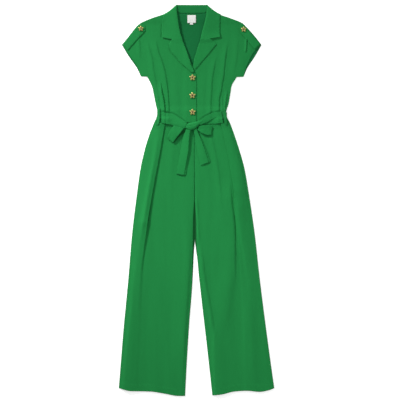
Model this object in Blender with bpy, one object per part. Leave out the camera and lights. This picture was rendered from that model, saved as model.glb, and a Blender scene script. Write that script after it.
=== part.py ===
"""A palazzo jumpsuit laid flat: notch-collar bodice, tie belt and wide pleated legs.

The cloth lies front side up with its underside on z = 0. Sizes are millimetres in the garment's
own axes: u runs to the right from the waist's middle, v runs up from the waist towards the neck,
and h is height above the surface. An empty carries every piece to the middle of the outline.
"Left" and "right" are those of the garment as it is looked at.
"""
from collections import namedtuple
from math import cos, exp, pi, radians, sin, sqrt

import bpy
from mathutils import Vector

MM = 0.001                   # metres in a millimetre

# Cloth
WALL = 1.2                   # thickness of one layer
SEAM_GAP = 0.3               # between pieces that are sewn together
LAY_GAP = 0.5                # between a piece and the one it lies on
EDGE_PUFF = 1.1              # a front panel swells this much inside its seams
PUFF_WIDTH = 9.0

# Heights along the garment
COLLAR_TOP = 432.5
WAIST_SEAM = -21.0
HEM_LOW = -1072.0
HEM_LEFT = -283.0
HEM_RIGHT = 315.0

# Belt
BELT_WIDTH = 40.0
BELT_MIDDLE = -1.0           # height of the belt's middle at the sides
BELT_SIDE = 133.0            # half width of the belt's back run
UNDER_LIFT = WALL + LAY_GAP  # the back rises this much over what lies under it
LIFT_FADE = 25.0
BELT_MARGIN = 4.0            # the lift reaches this far past the belt
FRONT_CLEARANCE = 0.3        # the front rises this much more there
COLLAR_FALL_LOW = 378.0      # the collar's back fall lies under the back above this height

# Neck and front opening
NECK_LIFT = 2.0              # the fronts stand this much higher along the neckline
NECK_LIFT_WIDTH = 45.0
LIFT_TOP = 415.0             # the lift ends here, at the shoulder seam
LIFT_START = 60.0            # it grows over this height at the lower end of the opening
LIFT_END = 45.0              # and dies away over this height at the shoulder
OPENING_EDGE = 18.0          # the left front's edge, over the right front
OVERLAP_START = -40.0        # the left front starts to climb over the right one here
OVERLAP_RAMP = 22.0
OVERLAP_FALL = 2.0           # what lies on it steps down over this width past its edge
ROLL_RADIUS = 1.1            # of the collar's fold
ROLL_REACH = 4.5             # from the fold to where the cloth runs straight again
COLLAR_LYING = 0.99          # above this turn the fall lies on the fronts
COLLAR_REST = 0.2            # and is this far off the cloth under it, at least

# Pressed knife pleats on the legs
PLEAT_RADIUS = 0.95
PLEAT_ARC_STEPS = 4
BRIDGE_START = 34.0          # what lies over a pleat starts to rise this far before its lip
BRIDGE_WIDTH = 28.0
BRIDGE_TOP = 26.0            # it is flat again this far above the waist seam
BRIDGE_FADE = 14.0
PANEL_RISE = 1.4             # the outer panel is at its full height before the pleat

# Buttons
BUTTON_SIZE = 25.0
BUTTON_HEIGHT = 4.2
BUTTON_PETALS = 5
PETAL_DEPTH = 0.13           # of the radius
TAB_CROWN = 1.4              # a sleeve tab's height off the sleeve under its button
SHANK_SIZE = 9.0
PETAL_TURN = pi / 2          # one petal points to the neck

# Mesh steps
BACK_ACROSS = 32
BACK_DOWN = 16
FRONT_ACROSS = 16
FRONT_DOWN = 20
LEG_DOWN = 24
BACK_LEG_ACROSS = 8
OUTER_PANEL_STEPS = 6
INNER_PANEL_STEPS = 9
BELT_BACK_STEPS = 8
KNOT_AROUND = 14
KNOT_RINGS = 6
BUTTON_AROUND = 30
LABEL_DOWN = 3
LABEL_ACROSS = 2

# Colours, linear
GREEN = (0.022, 0.235, 0.062)
BRASS = (0.72, 0.44, 0.13)
WHITE = (0.85, 0.84, 0.81)

Point = namedtuple("Point", "u v")
Width = namedtuple("Width", "v u")
Pleat = namedtuple("Pleat", "v u underlay turn")
Fold = namedtuple("Fold", "top_u top_v end_u end_v bow height width fade_top fade_end")
CollarRow = namedtuple("CollarRow", "outer_u outer_v outer_h roll_u roll_v roll_h "
                                    "seam_u seam_v seam_h turn")
LapelRow = namedtuple("LapelRow", "outer_u outer_v roll_u roll_v")
StripRow = namedtuple("StripRow", "a_u a_v a_lift b_u b_v b_lift")
Spot = namedtuple("Spot", "name u v")
Ring = namedtuple("Ring", "size level petals")
Step = namedtuple("Step", "share lift")

# Leg edges: height along the leg and distance from the garment's middle
OUTER_LEFT = (Width(-21, -143), Width(-60, -163), Width(-120, -182), Width(-200, -200),
              Width(-300, -214), Width(-450, -232), Width(-620, -246), Width(-820, -264.5),
              Width(-1057, -283))
OUTER_RIGHT = (Width(-21, 142), Width(-60, 159), Width(-120, 179), Width(-200, 201),
               Width(-300, 218), Width(-450, 240), Width(-620, 259), Width(-820, 284),
               Width(-1057, 315))
INNER_LEFT = (Width(-21, 7.85), Width(-331, 9.2), Width(-474, 7.2), Width(-620, 1),
              Width(-780, -12), Width(-940, -22), Width(-1057, -28))
INNER_RIGHT = (Width(-21, 8.15), Width(-331, 10), Width(-474, 12.6), Width(-550, 18.5),
               Width(-700, 36), Width(-860, 55), Width(-1057, 77))
BACK_INNER_LEFT = (Width(-21, 7.85), Width(-331, 9.6), Width(-474, 9.4), Width(-510, 6.5),
                   Width(-620, 1), Width(-780, -12), Width(-940, -22), Width(-1057, -28))
BACK_INNER_RIGHT = (Width(-21, 8.15), Width(-331, 9.9), Width(-474, 9.8), Width(-510, 14.5),
                    Width(-550, 18.5), Width(-700, 36), Width(-860, 55), Width(-1057, 77))
HEM_LEFT_CURVE = (Width(-1042, -283), Width(-1053, -235), Width(-1055, -160),
                  Width(-1063, -108), Width(-1072, -52), Width(-1072, -28))
HEM_RIGHT_CURVE = (Width(-1070, 77), Width(-1065, 117), Width(-1055, 161), Width(-1052, 211),
                   Width(-1056, 259), Width(-1050, 294), Width(-1042, 315))

# Pleat lines: place of the lip, width folded under, and how far the cloth turns, in degrees
PLEAT_LEFT = (Pleat(-21, -104, 14, 180), Pleat(-120, -119, 14, 180), Pleat(-280, -146, 12, 180),
              Pleat(-400, -166, 6, 180), Pleat(-480, -179, 1, 170), Pleat(-600, -195, 1, 60),
              Pleat(-820, -206, 1, 18), Pleat(-1057, -213, 1, 6))
PLEAT_RIGHT = (Pleat(-21, 109, 12, 180), Pleat(-150, 137, 10, 180), Pleat(-270, 158, 5, 180),
               Pleat(-340, 166, 1, 130), Pleat(-420, 167, 1, 85), Pleat(-570, 165, 1, 50),
               Pleat(-770, 157, 1, 22), Pleat(-1057, 150, 1, 6))

# Bodice edges, from the shoulder tip round to the waist
SHOULDER_LEFT = (Point(-268, 278), Point(-246, 309), Point(-216, 348), Point(-196, 364),
                 Point(-150, 383), Point(-119, 393), Point(-96, 401), Point(-74, 411))
SHOULDER_RIGHT = (Point(266, 279), Point(243, 309), Point(208, 348), Point(190, 364),
                  Point(142, 383), Point(112, 393), Point(92, 401), Point(71, 411))
SIDE_LEFT = (Point(-268, 278), Point(-243, 235), Point(-212, 189), Point(-195, 156),
             Point(-173, 155), Point(-154, 123), Point(-149, 96), Point(-140, 50),
             Point(-133, 24), Point(-133, 2), Point(-143, -21))
SIDE_RIGHT = (Point(266, 279), Point(241, 235), Point(211, 189), Point(197, 156),
              Point(171, 155), Point(152, 123), Point(147, 96), Point(139, 50),
              Point(131, 24), Point(132, 2), Point(142, -21))
NECK_LEFT = (Point(-74, 411), Point(-67, 385), Point(-56, 337), Point(-43, 301),
             Point(-30, 293), Point(-11, 238), Point(-4, 205), Point(6, 180),
             Point(18, 166), Point(18, 75), Point(18, -21))
NECK_RIGHT = (Point(71, 411), Point(66, 385), Point(56, 338), Point(47, 312),
              Point(34, 303), Point(22, 267), Point(8, 227), Point(2, 200),
              Point(-12, 168), Point(-12, 75), Point(-12, -21))
BACK_NECK = (Point(-74, 408), Point(-58, 402.5), Point(-44, 399.5), Point(0, 399),
             Point(44, 399.5), Point(56, 402.5), Point(71, 408))
NECK_EDGE = (Width(160, 12), Width(181, 6), Width(240, -9), Width(290, -25), Width(340, -42),
             Width(390, -55), Width(432, -61))

# Folds of the front cloth: a ridge is higher, a valley lower; fades are shares of its length
FOLDS = (
    Fold(-152, 305, -98, -30, -4, 4.0, 11, 0.2, 0.1),
    Fold(-176, 290, -128, 100, -2, 3.0, 9, 0.3, 0.3),
    Fold(-126, 130, -112, -30, 0, 3.5, 8, 0.3, 0.1),
    Fold(-214, 310, -210, 210, 0, 2.4, 12, 0.3, 0.4),
    Fold(-70, 230, -62, -30, 0, 2.2, 14, 0.5, 0.1),
    Fold(152, 290, 116, -30, 0, 3.4, 11, 0.2, 0.1),
    Fold(112, 240, 88, -30, 0, 2.6, 11, 0.3, 0.1),
    Fold(66, 210, 58, -30, 0, 2.2, 12, 0.4, 0.1),
    Fold(190, 330, 182, 190, 0, 2.6, 11, 0.3, 0.4),
    Fold(232, 300, 222, 220, 0, 2.2, 10, 0.3, 0.4),
    Fold(-72, -20, -88, -330, 0, 2.0, 16, 0.0, 0.6),
    Fold(96, -20, 112, -330, 0, 2.2, 15, 0.0, 0.6),
    Fold(52, -20, 60, -260, 0, 1.8, 14, 0.0, 0.6),
    Fold(24, -300, 92, -800, 8, 2.6, 12, 0.2, 0.5),
    Fold(-38, -330, -70, -1090, 0, 2.0, 24, 0.5, 0.0),
    Fold(-112, -420, -150, -1090, 0, 2.4, 26, 0.5, 0.0),
    Fold(-225, -500, -240, -1090, 0, 2.8, 20, 0.4, 0.0),
    Fold(128, -420, 132, -1090, 0, 2.6, 20, 0.5, 0.0),
    Fold(205, -380, 232, -1090, 0, 3.0, 22, 0.5, 0.0),
    Fold(262, -700, 286, -1090, 0, 2.2, 14, 0.5, 0.0),
)

# Collar, from the left notch round the neck to the right notch
COLLAR_LEFT = (
    CollarRow(-118, 306, 4.6, -27, 297, 9.0, -36, 299, 6.4, 1),
    CollarRow(-117, 335, 4.8, -40, 334, 9.4, -49, 335, 6.6, 1),
    CollarRow(-116, 365, 5.6, -49, 368, 9.9, -58, 369, 7.2, 1),
    CollarRow(-115, 386, 6.2, -55, 398, 9.8, -63, 398, 7.2, 1),
    CollarRow(-113, 394, 6.8, -59, 423, 8.8, -65.5, 411, 5.2, 1),
    CollarRow(-116, 400, 3.4, -60, 431.5, 5.6, -64, 415.5, 4.0, 0),
    CollarRow(-114.5, 399.5, 1.2, -58, 432, 4.2, -59.5, 411, 3.6, -0.5),
    CollarRow(-106, 391, 0.6, -53, 431.5, 2.6, -54, 402.5, 3.2, -1),
    CollarRow(-80, 386, 0.6, -42, 431.5, 1.8, -43, 400.6, 2.7, -1),
    CollarRow(-40, 383.5, 0.6, -21, 431.3, 1.7, -22, 400.2, 2.6, -1),
)
COLLAR_MIDDLE = CollarRow(0, 383, 0.6, -2, 431, 1.7, -1, 400, 2.6, -1)
COLLAR_RIGHT = (
    CollarRow(38, 383.5, 0.6, 18, 431.3, 1.7, 20, 400.2, 2.6, -1),
    CollarRow(76, 386, 0.6, 38, 431.5, 1.8, 41, 400.6, 2.7, -1),
    CollarRow(102, 391, 0.6, 50, 431.5, 2.6, 51, 402.5, 3.2, -1),
    CollarRow(109.5, 399.5, 1.2, 55, 432, 4.2, 56.5, 411, 3.6, -0.5),
    CollarRow(111, 400, 3.4, 57, 431.5, 5.6, 61, 415.5, 4.0, 0),
    CollarRow(109, 394, 6.8, 56, 423, 8.8, 62.5, 411, 5.2, 1),
    CollarRow(108, 385, 6.2, 54, 396, 9.8, 62, 396, 7.2, 1),
    CollarRow(106, 362, 5.6, 48, 366, 9.9, 57, 368, 7.2, 1),
    CollarRow(106, 335, 4.8, 40, 336, 9.4, 49, 337, 6.6, 1),
    CollarRow(108, 309, 4.6, 31, 307, 9.0, 40, 309, 6.4, 1),
)

# Lapels, from the notch down to where the fronts close
LAPEL_LEFT = (LapelRow(-79, 298, -27, 293), LapelRow(-92, 279, -22, 280),
              LapelRow(-77, 247, -14, 255), LapelRow(-62, 229, -8, 232),
              LapelRow(-38, 207, -3, 210), LapelRow(-15, 186, 3, 190),
              LapelRow(1, 172, 8, 176))
LAPEL_RIGHT = (LapelRow(68, 300, 31, 302), LapelRow(91, 280, 24, 281),
               LapelRow(74, 254, 16, 254), LapelRow(56, 231, 9, 232),
               LapelRow(34, 211, 5, 214), LapelRow(18, 198, 4, 201))

# Sleeve tabs, from the shoulder end to the sleeve hem: a is the shoulder side
TAB_LEFT = (StripRow(-197, 359, 0, -183, 354, 0), StripRow(-206, 351, 0.6, -180, 337, 0.6),
            StripRow(-232, 320, 1.2, -206, 304, 1.6), StripRow(-263, 280, 0.4, -241, 262, 1.6))
TAB_RIGHT = (StripRow(193, 359, 0, 179, 354, 0), StripRow(203, 350, 0.6, 178, 337, 0.6),
             StripRow(229, 320, 1.2, 204, 303, 1.6), StripRow(261, 281, 0.4, 240, 261, 1.6))

# Belt: a is the upper edge of a band, the left edge of a tail and of the left loop
BAND_LEFT = (StripRow(-116, 19, 0, -120, -22, 0), StripRow(-78, 13, 1.2, -92, -28, 1.0),
             StripRow(-45, -6, 4.0, -62, -35, 3.0), StripRow(-19.5, -22.5, 8, -29.5, -43, 7))
BAND_RIGHT = (StripRow(112, 24, 0, 118, -22, 0), StripRow(78, 17, 1.2, 86, -25, 0.8),
              StripRow(47, 1, 4.5, 58, -26, 3.0), StripRow(24, -15, 8, 29.5, -30, 7))
LOOP_LEFT = (StripRow(-80, -38, 4, -33, -48, 8), StripRow(-90, -55, 7, -50, -64, 11),
             StripRow(-96, -73, 7, -65, -85, 10), StripRow(-98.5, -81, 4, -73, -98, 5.5),
             StripRow(-95, -79, 1.8, -69, -96, 2.0), StripRow(-78, -63, 0.9, -50, -78, 0.9),
             StripRow(-58, -46, 0.9, -28, -55, 0.9))
LOOP_RIGHT = (StripRow(28, -34, 8, 20, -49, 8), StripRow(45, -31, 8, 38, -62, 9),
              StripRow(66, -30, 6.5, 60, -69, 8), StripRow(76, -34, 3.6, 71, -68, 4.4),
              StripRow(73, -35, 1.8, 68, -65, 1.8), StripRow(50, -36, 0.9, 42, -59, 0.9),
              StripRow(30, -38, 0.9, 25, -50, 0.9))
TAIL_LEFT = (StripRow(-22, -54, 5, -12, -56, 6), StripRow(-36, -76, 1.5, -12, -80, 4),
             StripRow(-45, -121, 0.8, -12, -121, 4), StripRow(-54, -170, 0.6, -19, -168, 3.5),
             StripRow(-62, -219, 0.4, -27, -225, 1.5))
TAIL_RIGHT = (StripRow(4, -55, 5, 16, -53, 6), StripRow(11, -85, 1.5, 34, -80, 4),
              StripRow(15, -115, 0.8, 46, -109, 4), StripRow(22, -150, 0.6, 58, -138, 3.5),
              StripRow(33, -186, 0.4, 68, -171, 1.5))
CARRIER_LEFT = (StripRow(-131, 40, 0, -122, 40, 0), StripRow(-132, 22, 2.4, -122.5, 22, 2.4),
                StripRow(-135, -24, 2.6, -125.5, -25, 2.6), StripRow(-139, -36, 0.6, -130, -38, 0.6))
CARRIER_RIGHT = (StripRow(119, 42, 0, 128, 42, 0), StripRow(120, 28, 2.4, 129.5, 28, 2.4),
                 StripRow(124, -25, 2.6, 133.5, -24, 2.6), StripRow(128, -38, 0.6, 137, -36, 0.6))
KNOT_MIDDLE = Point(0, -33)
KNOT_HALF_LENGTH = 26.0
KNOT_HALF_WIDTH = 12.5
KNOT_TILT = 15.0             # degrees
KNOT_LOW = 6.0
KNOT_TOP = 19.0
KNOT_FULLNESS = 0.7          # below 1 the knot is fuller towards its ends

BUTTONS = (Spot("button_top", 1.5, 153), Spot("button_middle", 1, 84), Spot("button_low", 1.5, 20))
TAB_BUTTONS = (Spot("tab_button_left", -198, 341), Spot("tab_button_right", 197, 338))

# A button in section: share of its radius, share of its height, share of the petals' depth
BUTTON_RINGS = (Ring(0.36, 0, 0), Ring(0.36, 0.18, 0), Ring(0.86, 0.26, 1), Ring(1, 0.5, 1),
                Ring(0.88, 0.78, 1), Ring(0.55, 0.95, 0.6), Ring(0.22, 0.86, 0))
BUTTON_MIDDLE = 0.9          # level of the middle, a little below the petals

# A lapel in section, from its outer edge to its roll line
LAPEL_SECTION = (Step(0, 0), Step(0.33, 0.9), Step(0.66, 1.5), Step(0.8, 1.6), Step(1, 0.2))
LAPEL_ROLL = 5.0             # width of the roll itself

# Neck label
LABEL_LEFT = -19.0
LABEL_RIGHT = 15.0
LABEL_TOP = 393.0
LABEL_LOW = 361.0
SIZE_TAB_WIDTH = 12.0
SIZE_TAB_DROP = 6.0
LABEL_WALL = 1.0


# ---------------------------------------------------------------- numbers

def lerp(a, b, t):
    return a + (b - a) * t


def smooth(t):
    t = min(1.0, max(0.0, t))
    return t * t * (3.0 - 2.0 * t)


def hermite(keys, values, at):
    """A smooth curve through values at rising or falling keys, which never overshoots them."""
    if keys[0] > keys[-1]:
        keys = [-key for key in keys]
        at = -at
    at = min(max(at, keys[0]), keys[-1])
    last = len(keys) - 1
    i = 0
    while i < last - 1 and at > keys[i + 1]:
        i += 1

    def chord(k):
        return (values[k + 1] - values[k]) / (keys[k + 1] - keys[k])

    def slope(k):
        if k == 0 or k == last:
            return chord(min(k, last - 1))
        before = chord(k - 1)
        after = chord(k)
        if before * after <= 0:
            return 0.0
        return 2 * before * after / (before + after)

    step = keys[i + 1] - keys[i]
    t = (at - keys[i]) / step
    a = values[i]
    b = values[i + 1]
    rise = slope(i) * step
    fall = slope(i + 1) * step
    return (a * (2 * t ** 3 - 3 * t ** 2 + 1) + rise * (t ** 3 - 2 * t ** 2 + t)
            + b * (3 * t ** 2 - 2 * t ** 3) + fall * (t ** 3 - t ** 2))


def column(table, key, name, at):
    """One named column of a table, read smoothly at a value of its key column."""
    keys = [getattr(row, key) for row in table]
    values = [getattr(row, name) for row in table]
    return hermite(keys, values, at)


def walk(points, t):
    """The point at share t of a polyline's length."""
    lengths = [0.0]
    for a, b in zip(points, points[1:]):
        lengths.append(lengths[-1] + sqrt((b.u - a.u) ** 2 + (b.v - a.v) ** 2))
    at = t * lengths[-1]
    i = 0
    while i < len(points) - 2 and at > lengths[i + 1]:
        i += 1
    share = (at - lengths[i]) / (lengths[i + 1] - lengths[i])
    a = points[i]
    b = points[i + 1]
    return Point(lerp(a.u, b.u, share), lerp(a.v, b.v, share))


def stations(table, steps):
    """The rows of a table with steps - 1 smooth rows put between each two."""
    count = len(table)
    keys = list(range(count))
    columns = [[row[c] for row in table] for c in range(len(table[0]))]
    kind = type(table[0])
    rows = []
    for i in range((count - 1) * steps + 1):
        rows.append(kind(*[hermite(keys, values, i / steps) for values in columns]))
    return rows


# ---------------------------------------------------------------- heights of the cloth

def under_rise(v):
    """How far the back panel rises over the belt's back run and the collar's fall."""
    from_belt = abs(v - BELT_MIDDLE) - BELT_WIDTH / 2 - BELT_MARGIN
    over_belt = smooth(1 - from_belt / LIFT_FADE)
    over_collar = smooth((v - COLLAR_FALL_LOW + LIFT_FADE) / LIFT_FADE)
    return UNDER_LIFT * (over_belt + over_collar)


def back_height(u, v):
    """Middle of the back panel's wall."""
    return WALL / 2 + under_rise(v)


def folds_height(u, v):
    total = 0.0
    for fold in FOLDS:
        along = (fold.top_v - v) / (fold.top_v - fold.end_v)
        if 0 <= along <= 1:
            middle = lerp(fold.top_u, fold.end_u, along) + fold.bow * 4 * along * (1 - along)
            strength = 1.0
            if fold.fade_top:
                strength *= smooth(along / fold.fade_top)
            if fold.fade_end:
                strength *= smooth((1 - along) / fold.fade_end)
            total += fold.height * strength * exp(-((u - middle) / fold.width) ** 2)
    return total


def neck_lift(u, v):
    if v < NECK_EDGE[0].v:
        return 0.0
    distance = abs(u) - abs(column(NECK_EDGE, "v", "u", v))
    near = exp(-(distance / NECK_LIFT_WIDTH) ** 2)
    start = smooth((v - NECK_EDGE[0].v) / LIFT_START)
    return NECK_LIFT * near * start * smooth((LIFT_TOP - v) / LIFT_END)


def front_base(u, v):
    """Middle of the front panels' wall at a seam."""
    clearance = FRONT_CLEARANCE * under_rise(v) / UNDER_LIFT
    return back_height(u, v) + WALL + SEAM_GAP + clearance


def front_height(u, v):
    """Middle of the front panels' wall, away from their seams."""
    return front_base(u, v) + EDGE_PUFF + folds_height(u, v) + neck_lift(u, v)


def overlap_rise(u):
    """How far the left front stands up where it lies on the right one."""
    return (WALL + LAY_GAP) * smooth((u - OVERLAP_START) / OVERLAP_RAMP)


def seam_share(distance):
    """0 at a seam, 1 well inside it."""
    return 1 - exp(-(max(distance, 0.0) / PUFF_WIDTH) ** 1.5)


def pleat_rise(u, at):
    """How far what lies on a leg must rise to bridge its pleat."""
    outer, pleat = (OUTER_LEFT, PLEAT_LEFT) if u < 0 else (OUTER_RIGHT, PLEAT_RIGHT)
    lip = abs(column(pleat, "v", "u", at)) + PLEAT_RADIUS
    edge = abs(column(outer, "v", "u", at))
    path = pleat_path(column(pleat, "v", "underlay", at), column(pleat, "v", "turn", at))
    near = smooth((abs(u) - lip + BRIDGE_START) / BRIDGE_WIDTH)
    return -path[-1][1] * near * smooth(PANEL_RISE * (edge - abs(u)) / (edge - lip))


def over_height(u, v, lift):
    """Middle of a piece that lies on the front, lifted off it by lift."""
    overlap = overlap_rise(u) if v > WAIST_SEAM else 0.0
    overlap *= smooth((OPENING_EDGE + OVERLAP_FALL - u) / OVERLAP_FALL)
    pleated = pleat_rise(u, v) * smooth((WAIST_SEAM + BRIDGE_TOP - v) / BRIDGE_FADE)
    return front_height(u, v) + overlap + pleated + WALL + LAY_GAP + lift


# ---------------------------------------------------------------- making solids

def material(name, colour, metallic, roughness):
    made = bpy.data.materials.new(name)
    made.use_nodes = True
    shader = made.node_tree.nodes["Principled BSDF"]
    shader.inputs["Base Color"].default_value = (*colour, 1)
    shader.inputs["Metallic"].default_value = metallic
    shader.inputs["Roughness"].default_value = roughness
    return made


def cloth(name):
    return material(name + "_cloth", GREEN, 0.0, 0.8)


def add_object(name, points, faces, finish, parent):
    mesh = bpy.data.meshes.new(name)
    mesh.from_pydata([Vector(point) * MM for point in points], [], faces)
    mesh.materials.append(finish)
    mesh.shade_smooth()
    mesh.set_sharp_from_angle(angle=radians(40))
    made = bpy.data.objects.new(name, mesh)
    made.parent = parent
    bpy.context.collection.objects.link(made)
    return made


def thicken(rows, wall):
    """The points and faces of a wall round a grid of middle points, rows from top to bottom."""
    high = len(rows)
    wide = len(rows[0])
    upper = []
    lower = []
    for r in range(high):
        for c in range(wide):
            across = rows[r][min(c + 1, wide - 1)] - rows[r][max(c - 1, 0)]
            down = rows[min(r + 1, high - 1)][c] - rows[max(r - 1, 0)][c]
            normal = down.cross(across).normalized()
            upper.append(rows[r][c] + normal * wall / 2)
            lower.append(rows[r][c] - normal * wall / 2)
            lower[-1].z = max(lower[-1].z, 0.0)
            upper[-1].z = max(upper[-1].z, 0.0)
    count = high * wide

    def index(r, c, side):
        return side * count + r * wide + c

    faces = []
    for r in range(high - 1):
        for c in range(wide - 1):
            faces.append((index(r, c, 0), index(r + 1, c, 0), index(r + 1, c + 1, 0),
                          index(r, c + 1, 0)))
            faces.append((index(r, c, 1), index(r, c + 1, 1), index(r + 1, c + 1, 1),
                          index(r + 1, c, 1)))
    rim = [(0, c) for c in range(wide - 1)]
    rim += [(r, wide - 1) for r in range(high - 1)]
    rim += [(high - 1, c) for c in range(wide - 1, 0, -1)]
    rim += [(r, 0) for r in range(high - 1, 0, -1)]
    for here, there in zip(rim, rim[1:] + rim[:1]):
        faces.append((index(*here, 0), index(*there, 0), index(*there, 1), index(*here, 1)))
    return upper + lower, faces


def sheet(name, rows, parent, finish=None, wall=WALL):
    points, faces = thicken(rows, wall)
    return add_object(name, points, faces, finish or cloth(name), parent)


def patch(top, low, left, right, wide, high):
    """A grid of flat points spanned between four edges, as functions of a share."""
    rows = []
    for r in range(high + 1):
        t = r / high
        row = []
        for c in range(wide + 1):
            s = c / wide
            u = lerp(top(s).u, low(s).u, t) + lerp(left(t).u, right(t).u, s)
            v = lerp(top(s).v, low(s).v, t) + lerp(left(t).v, right(t).v, s)
            u -= lerp(lerp(top(0).u, top(1).u, s), lerp(low(0).u, low(1).u, s), t)
            v -= lerp(lerp(top(0).v, top(1).v, s), lerp(low(0).v, low(1).v, s), t)
            row.append(Point(u, v))
        rows.append(row)
    return rows


def strip(name, table, parent, steps=2, wide=4, crown=0.8, flip=False):
    """A strip that lies on the front, given by its two edges and their lifts."""
    rows = []
    for row in stations(table, steps):
        line = []
        for c in range(wide + 1):
            s = c / wide
            u = lerp(row.a_u, row.b_u, s)
            v = lerp(row.a_v, row.b_v, s)
            lift = lerp(row.a_lift, row.b_lift, s) + crown * 4 * s * (1 - s)
            line.append(Vector((u, v, over_height(u, v, max(lift, 0.0)))))
        rows.append(line[::-1] if flip else line)
    return sheet(name, rows, parent)


# ---------------------------------------------------------------- bodice

def back_bodice(parent):
    top = SHOULDER_LEFT[:-1] + BACK_NECK + SHOULDER_RIGHT[-2::-1]
    waist = (SIDE_LEFT[-1], SIDE_RIGHT[-1])
    grid = patch(lambda s: walk(top, s), lambda s: walk(waist, s), lambda t: walk(SIDE_LEFT, t),
                 lambda t: walk(SIDE_RIGHT, t), BACK_ACROSS, BACK_DOWN)
    rows = [[Vector((p.u, p.v, back_height(p.u, p.v))) for p in row] for row in grid]
    return sheet("back_bodice", rows, parent)


def front_bodice(name, shoulder, side, neck, parent, over):
    """One front, from its sleeve to its edge at the opening."""
    waist = (side[-1], neck[-1])
    grid = patch(lambda s: walk(shoulder, s), lambda s: walk(waist, s), lambda t: walk(side, t),
                 lambda t: walk(neck, t), FRONT_ACROSS, FRONT_DOWN)
    rows = []
    for row in grid:
        line = []
        for p in row:
            reach = sqrt((p.u - row[0].u) ** 2 + (p.v - row[0].v) ** 2)
            rise = EDGE_PUFF + folds_height(p.u, p.v) + neck_lift(p.u, p.v)
            height = front_base(p.u, p.v) + seam_share(reach) * rise
            if over:
                height += overlap_rise(p.u)
            line.append(Vector((p.u, p.v, height)))
        rows.append(line if over else line[::-1])
    return sheet(name, rows, parent)


def lapel(name, table, parent, flip):
    """The turned facing: it lies on the front and rolls over at the neck edge."""
    rows = []
    for row in stations(table, 2):
        span = sqrt((row.roll_u - row.outer_u) ** 2 + (row.roll_v - row.outer_v) ** 2)
        line = []
        for share, lift in LAPEL_SECTION:
            if lift == max(step.lift for step in LAPEL_SECTION):
                share = max(share, 1 - LAPEL_ROLL / span)
            u = lerp(row.outer_u, row.roll_u, share)
            v = lerp(row.outer_v, row.roll_v, share)
            line.append(Vector((u, v, over_height(u, v, lift))))
        rows.append(line[::-1] if flip else line)
    return sheet(name, rows, parent)


def collar(parent):
    """One strip round the neck, folded along its roll: the fall outside, the stand inside."""
    rows = []
    for row in stations(COLLAR_LEFT + (COLLAR_MIDDLE,) + COLLAR_RIGHT, 2):
        outer = Vector((row.outer_u, row.outer_v, row.outer_h))
        roll = Vector((row.roll_u, row.roll_v, row.roll_h))
        seam = Vector((row.seam_u, row.seam_v, row.seam_h))
        bend = Vector((0, 0, ROLL_RADIUS * row.turn))
        fall_near = roll + (outer - roll).normalized() * ROLL_REACH + bend
        stand_near = roll + (seam - roll).normalized() * ROLL_REACH - bend
        fall = [outer, outer.lerp(fall_near, 0.35), outer.lerp(fall_near, 0.7), fall_near]
        if row.turn > COLLAR_LYING:
            for point in fall:
                point.z = max(point.z, over_height(point.x, point.y, COLLAR_REST))
        rows.append(fall + [roll, stand_near, seam])
    return sheet("collar", rows[::-1], parent)


def sleeve_tabs(parent):
    strip("sleeve_tab_left", TAB_LEFT, parent, crown=0.4)
    strip("sleeve_tab_right", TAB_RIGHT, parent, crown=0.4, flip=True)


# ---------------------------------------------------------------- legs

def leg_level(u, t, hem):
    """The height along the garment of a leg's point at share t from waist to hem."""
    low = hermite([row.u for row in hem], [row.v for row in hem], u)
    return lerp(WAIST_SEAM - SEAM_GAP, low, t)


def back_leg(name, outer, inner, hem, parent):
    rows = []
    for r in range(LEG_DOWN + 1):
        t = r / LEG_DOWN
        at = lerp(WAIST_SEAM, outer[-1].v, t)
        ends = sorted((column(outer, "v", "u", at), column(inner, "v", "u", at)))
        line = []
        for c in range(BACK_LEG_ACROSS + 1):
            u = lerp(ends[0], ends[1], c / BACK_LEG_ACROSS)
            v = leg_level(u, t, hem)
            line.append(Vector((u, v, back_height(u, v))))
        rows.append(line)
    return sheet(name, rows, parent)


def pleat_radius(turn):
    """The fold opens to a wider bend as the cloth turns less."""
    return PLEAT_RADIUS * (180 / turn) ** 0.7


def pleat_path(underlay, turn):
    """The S of a pleat in section: steps forward and down from the start of its lip."""
    angle = radians(turn)
    radius = pleat_radius(turn)
    path = []
    for i in range(PLEAT_ARC_STEPS + 1):
        bend = angle * i / PLEAT_ARC_STEPS
        path.append((radius * sin(bend), radius * (cos(bend) - 1)))
    forward, drop = path[-1]
    forward += underlay * cos(angle)
    drop -= underlay * sin(angle)
    for i in range(PLEAT_ARC_STEPS, -1, -1):
        bend = angle * i / PLEAT_ARC_STEPS
        path.append((forward + radius * (sin(angle) - sin(bend)),
                     drop + radius * (cos(angle) - cos(bend))))
    return path


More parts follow.
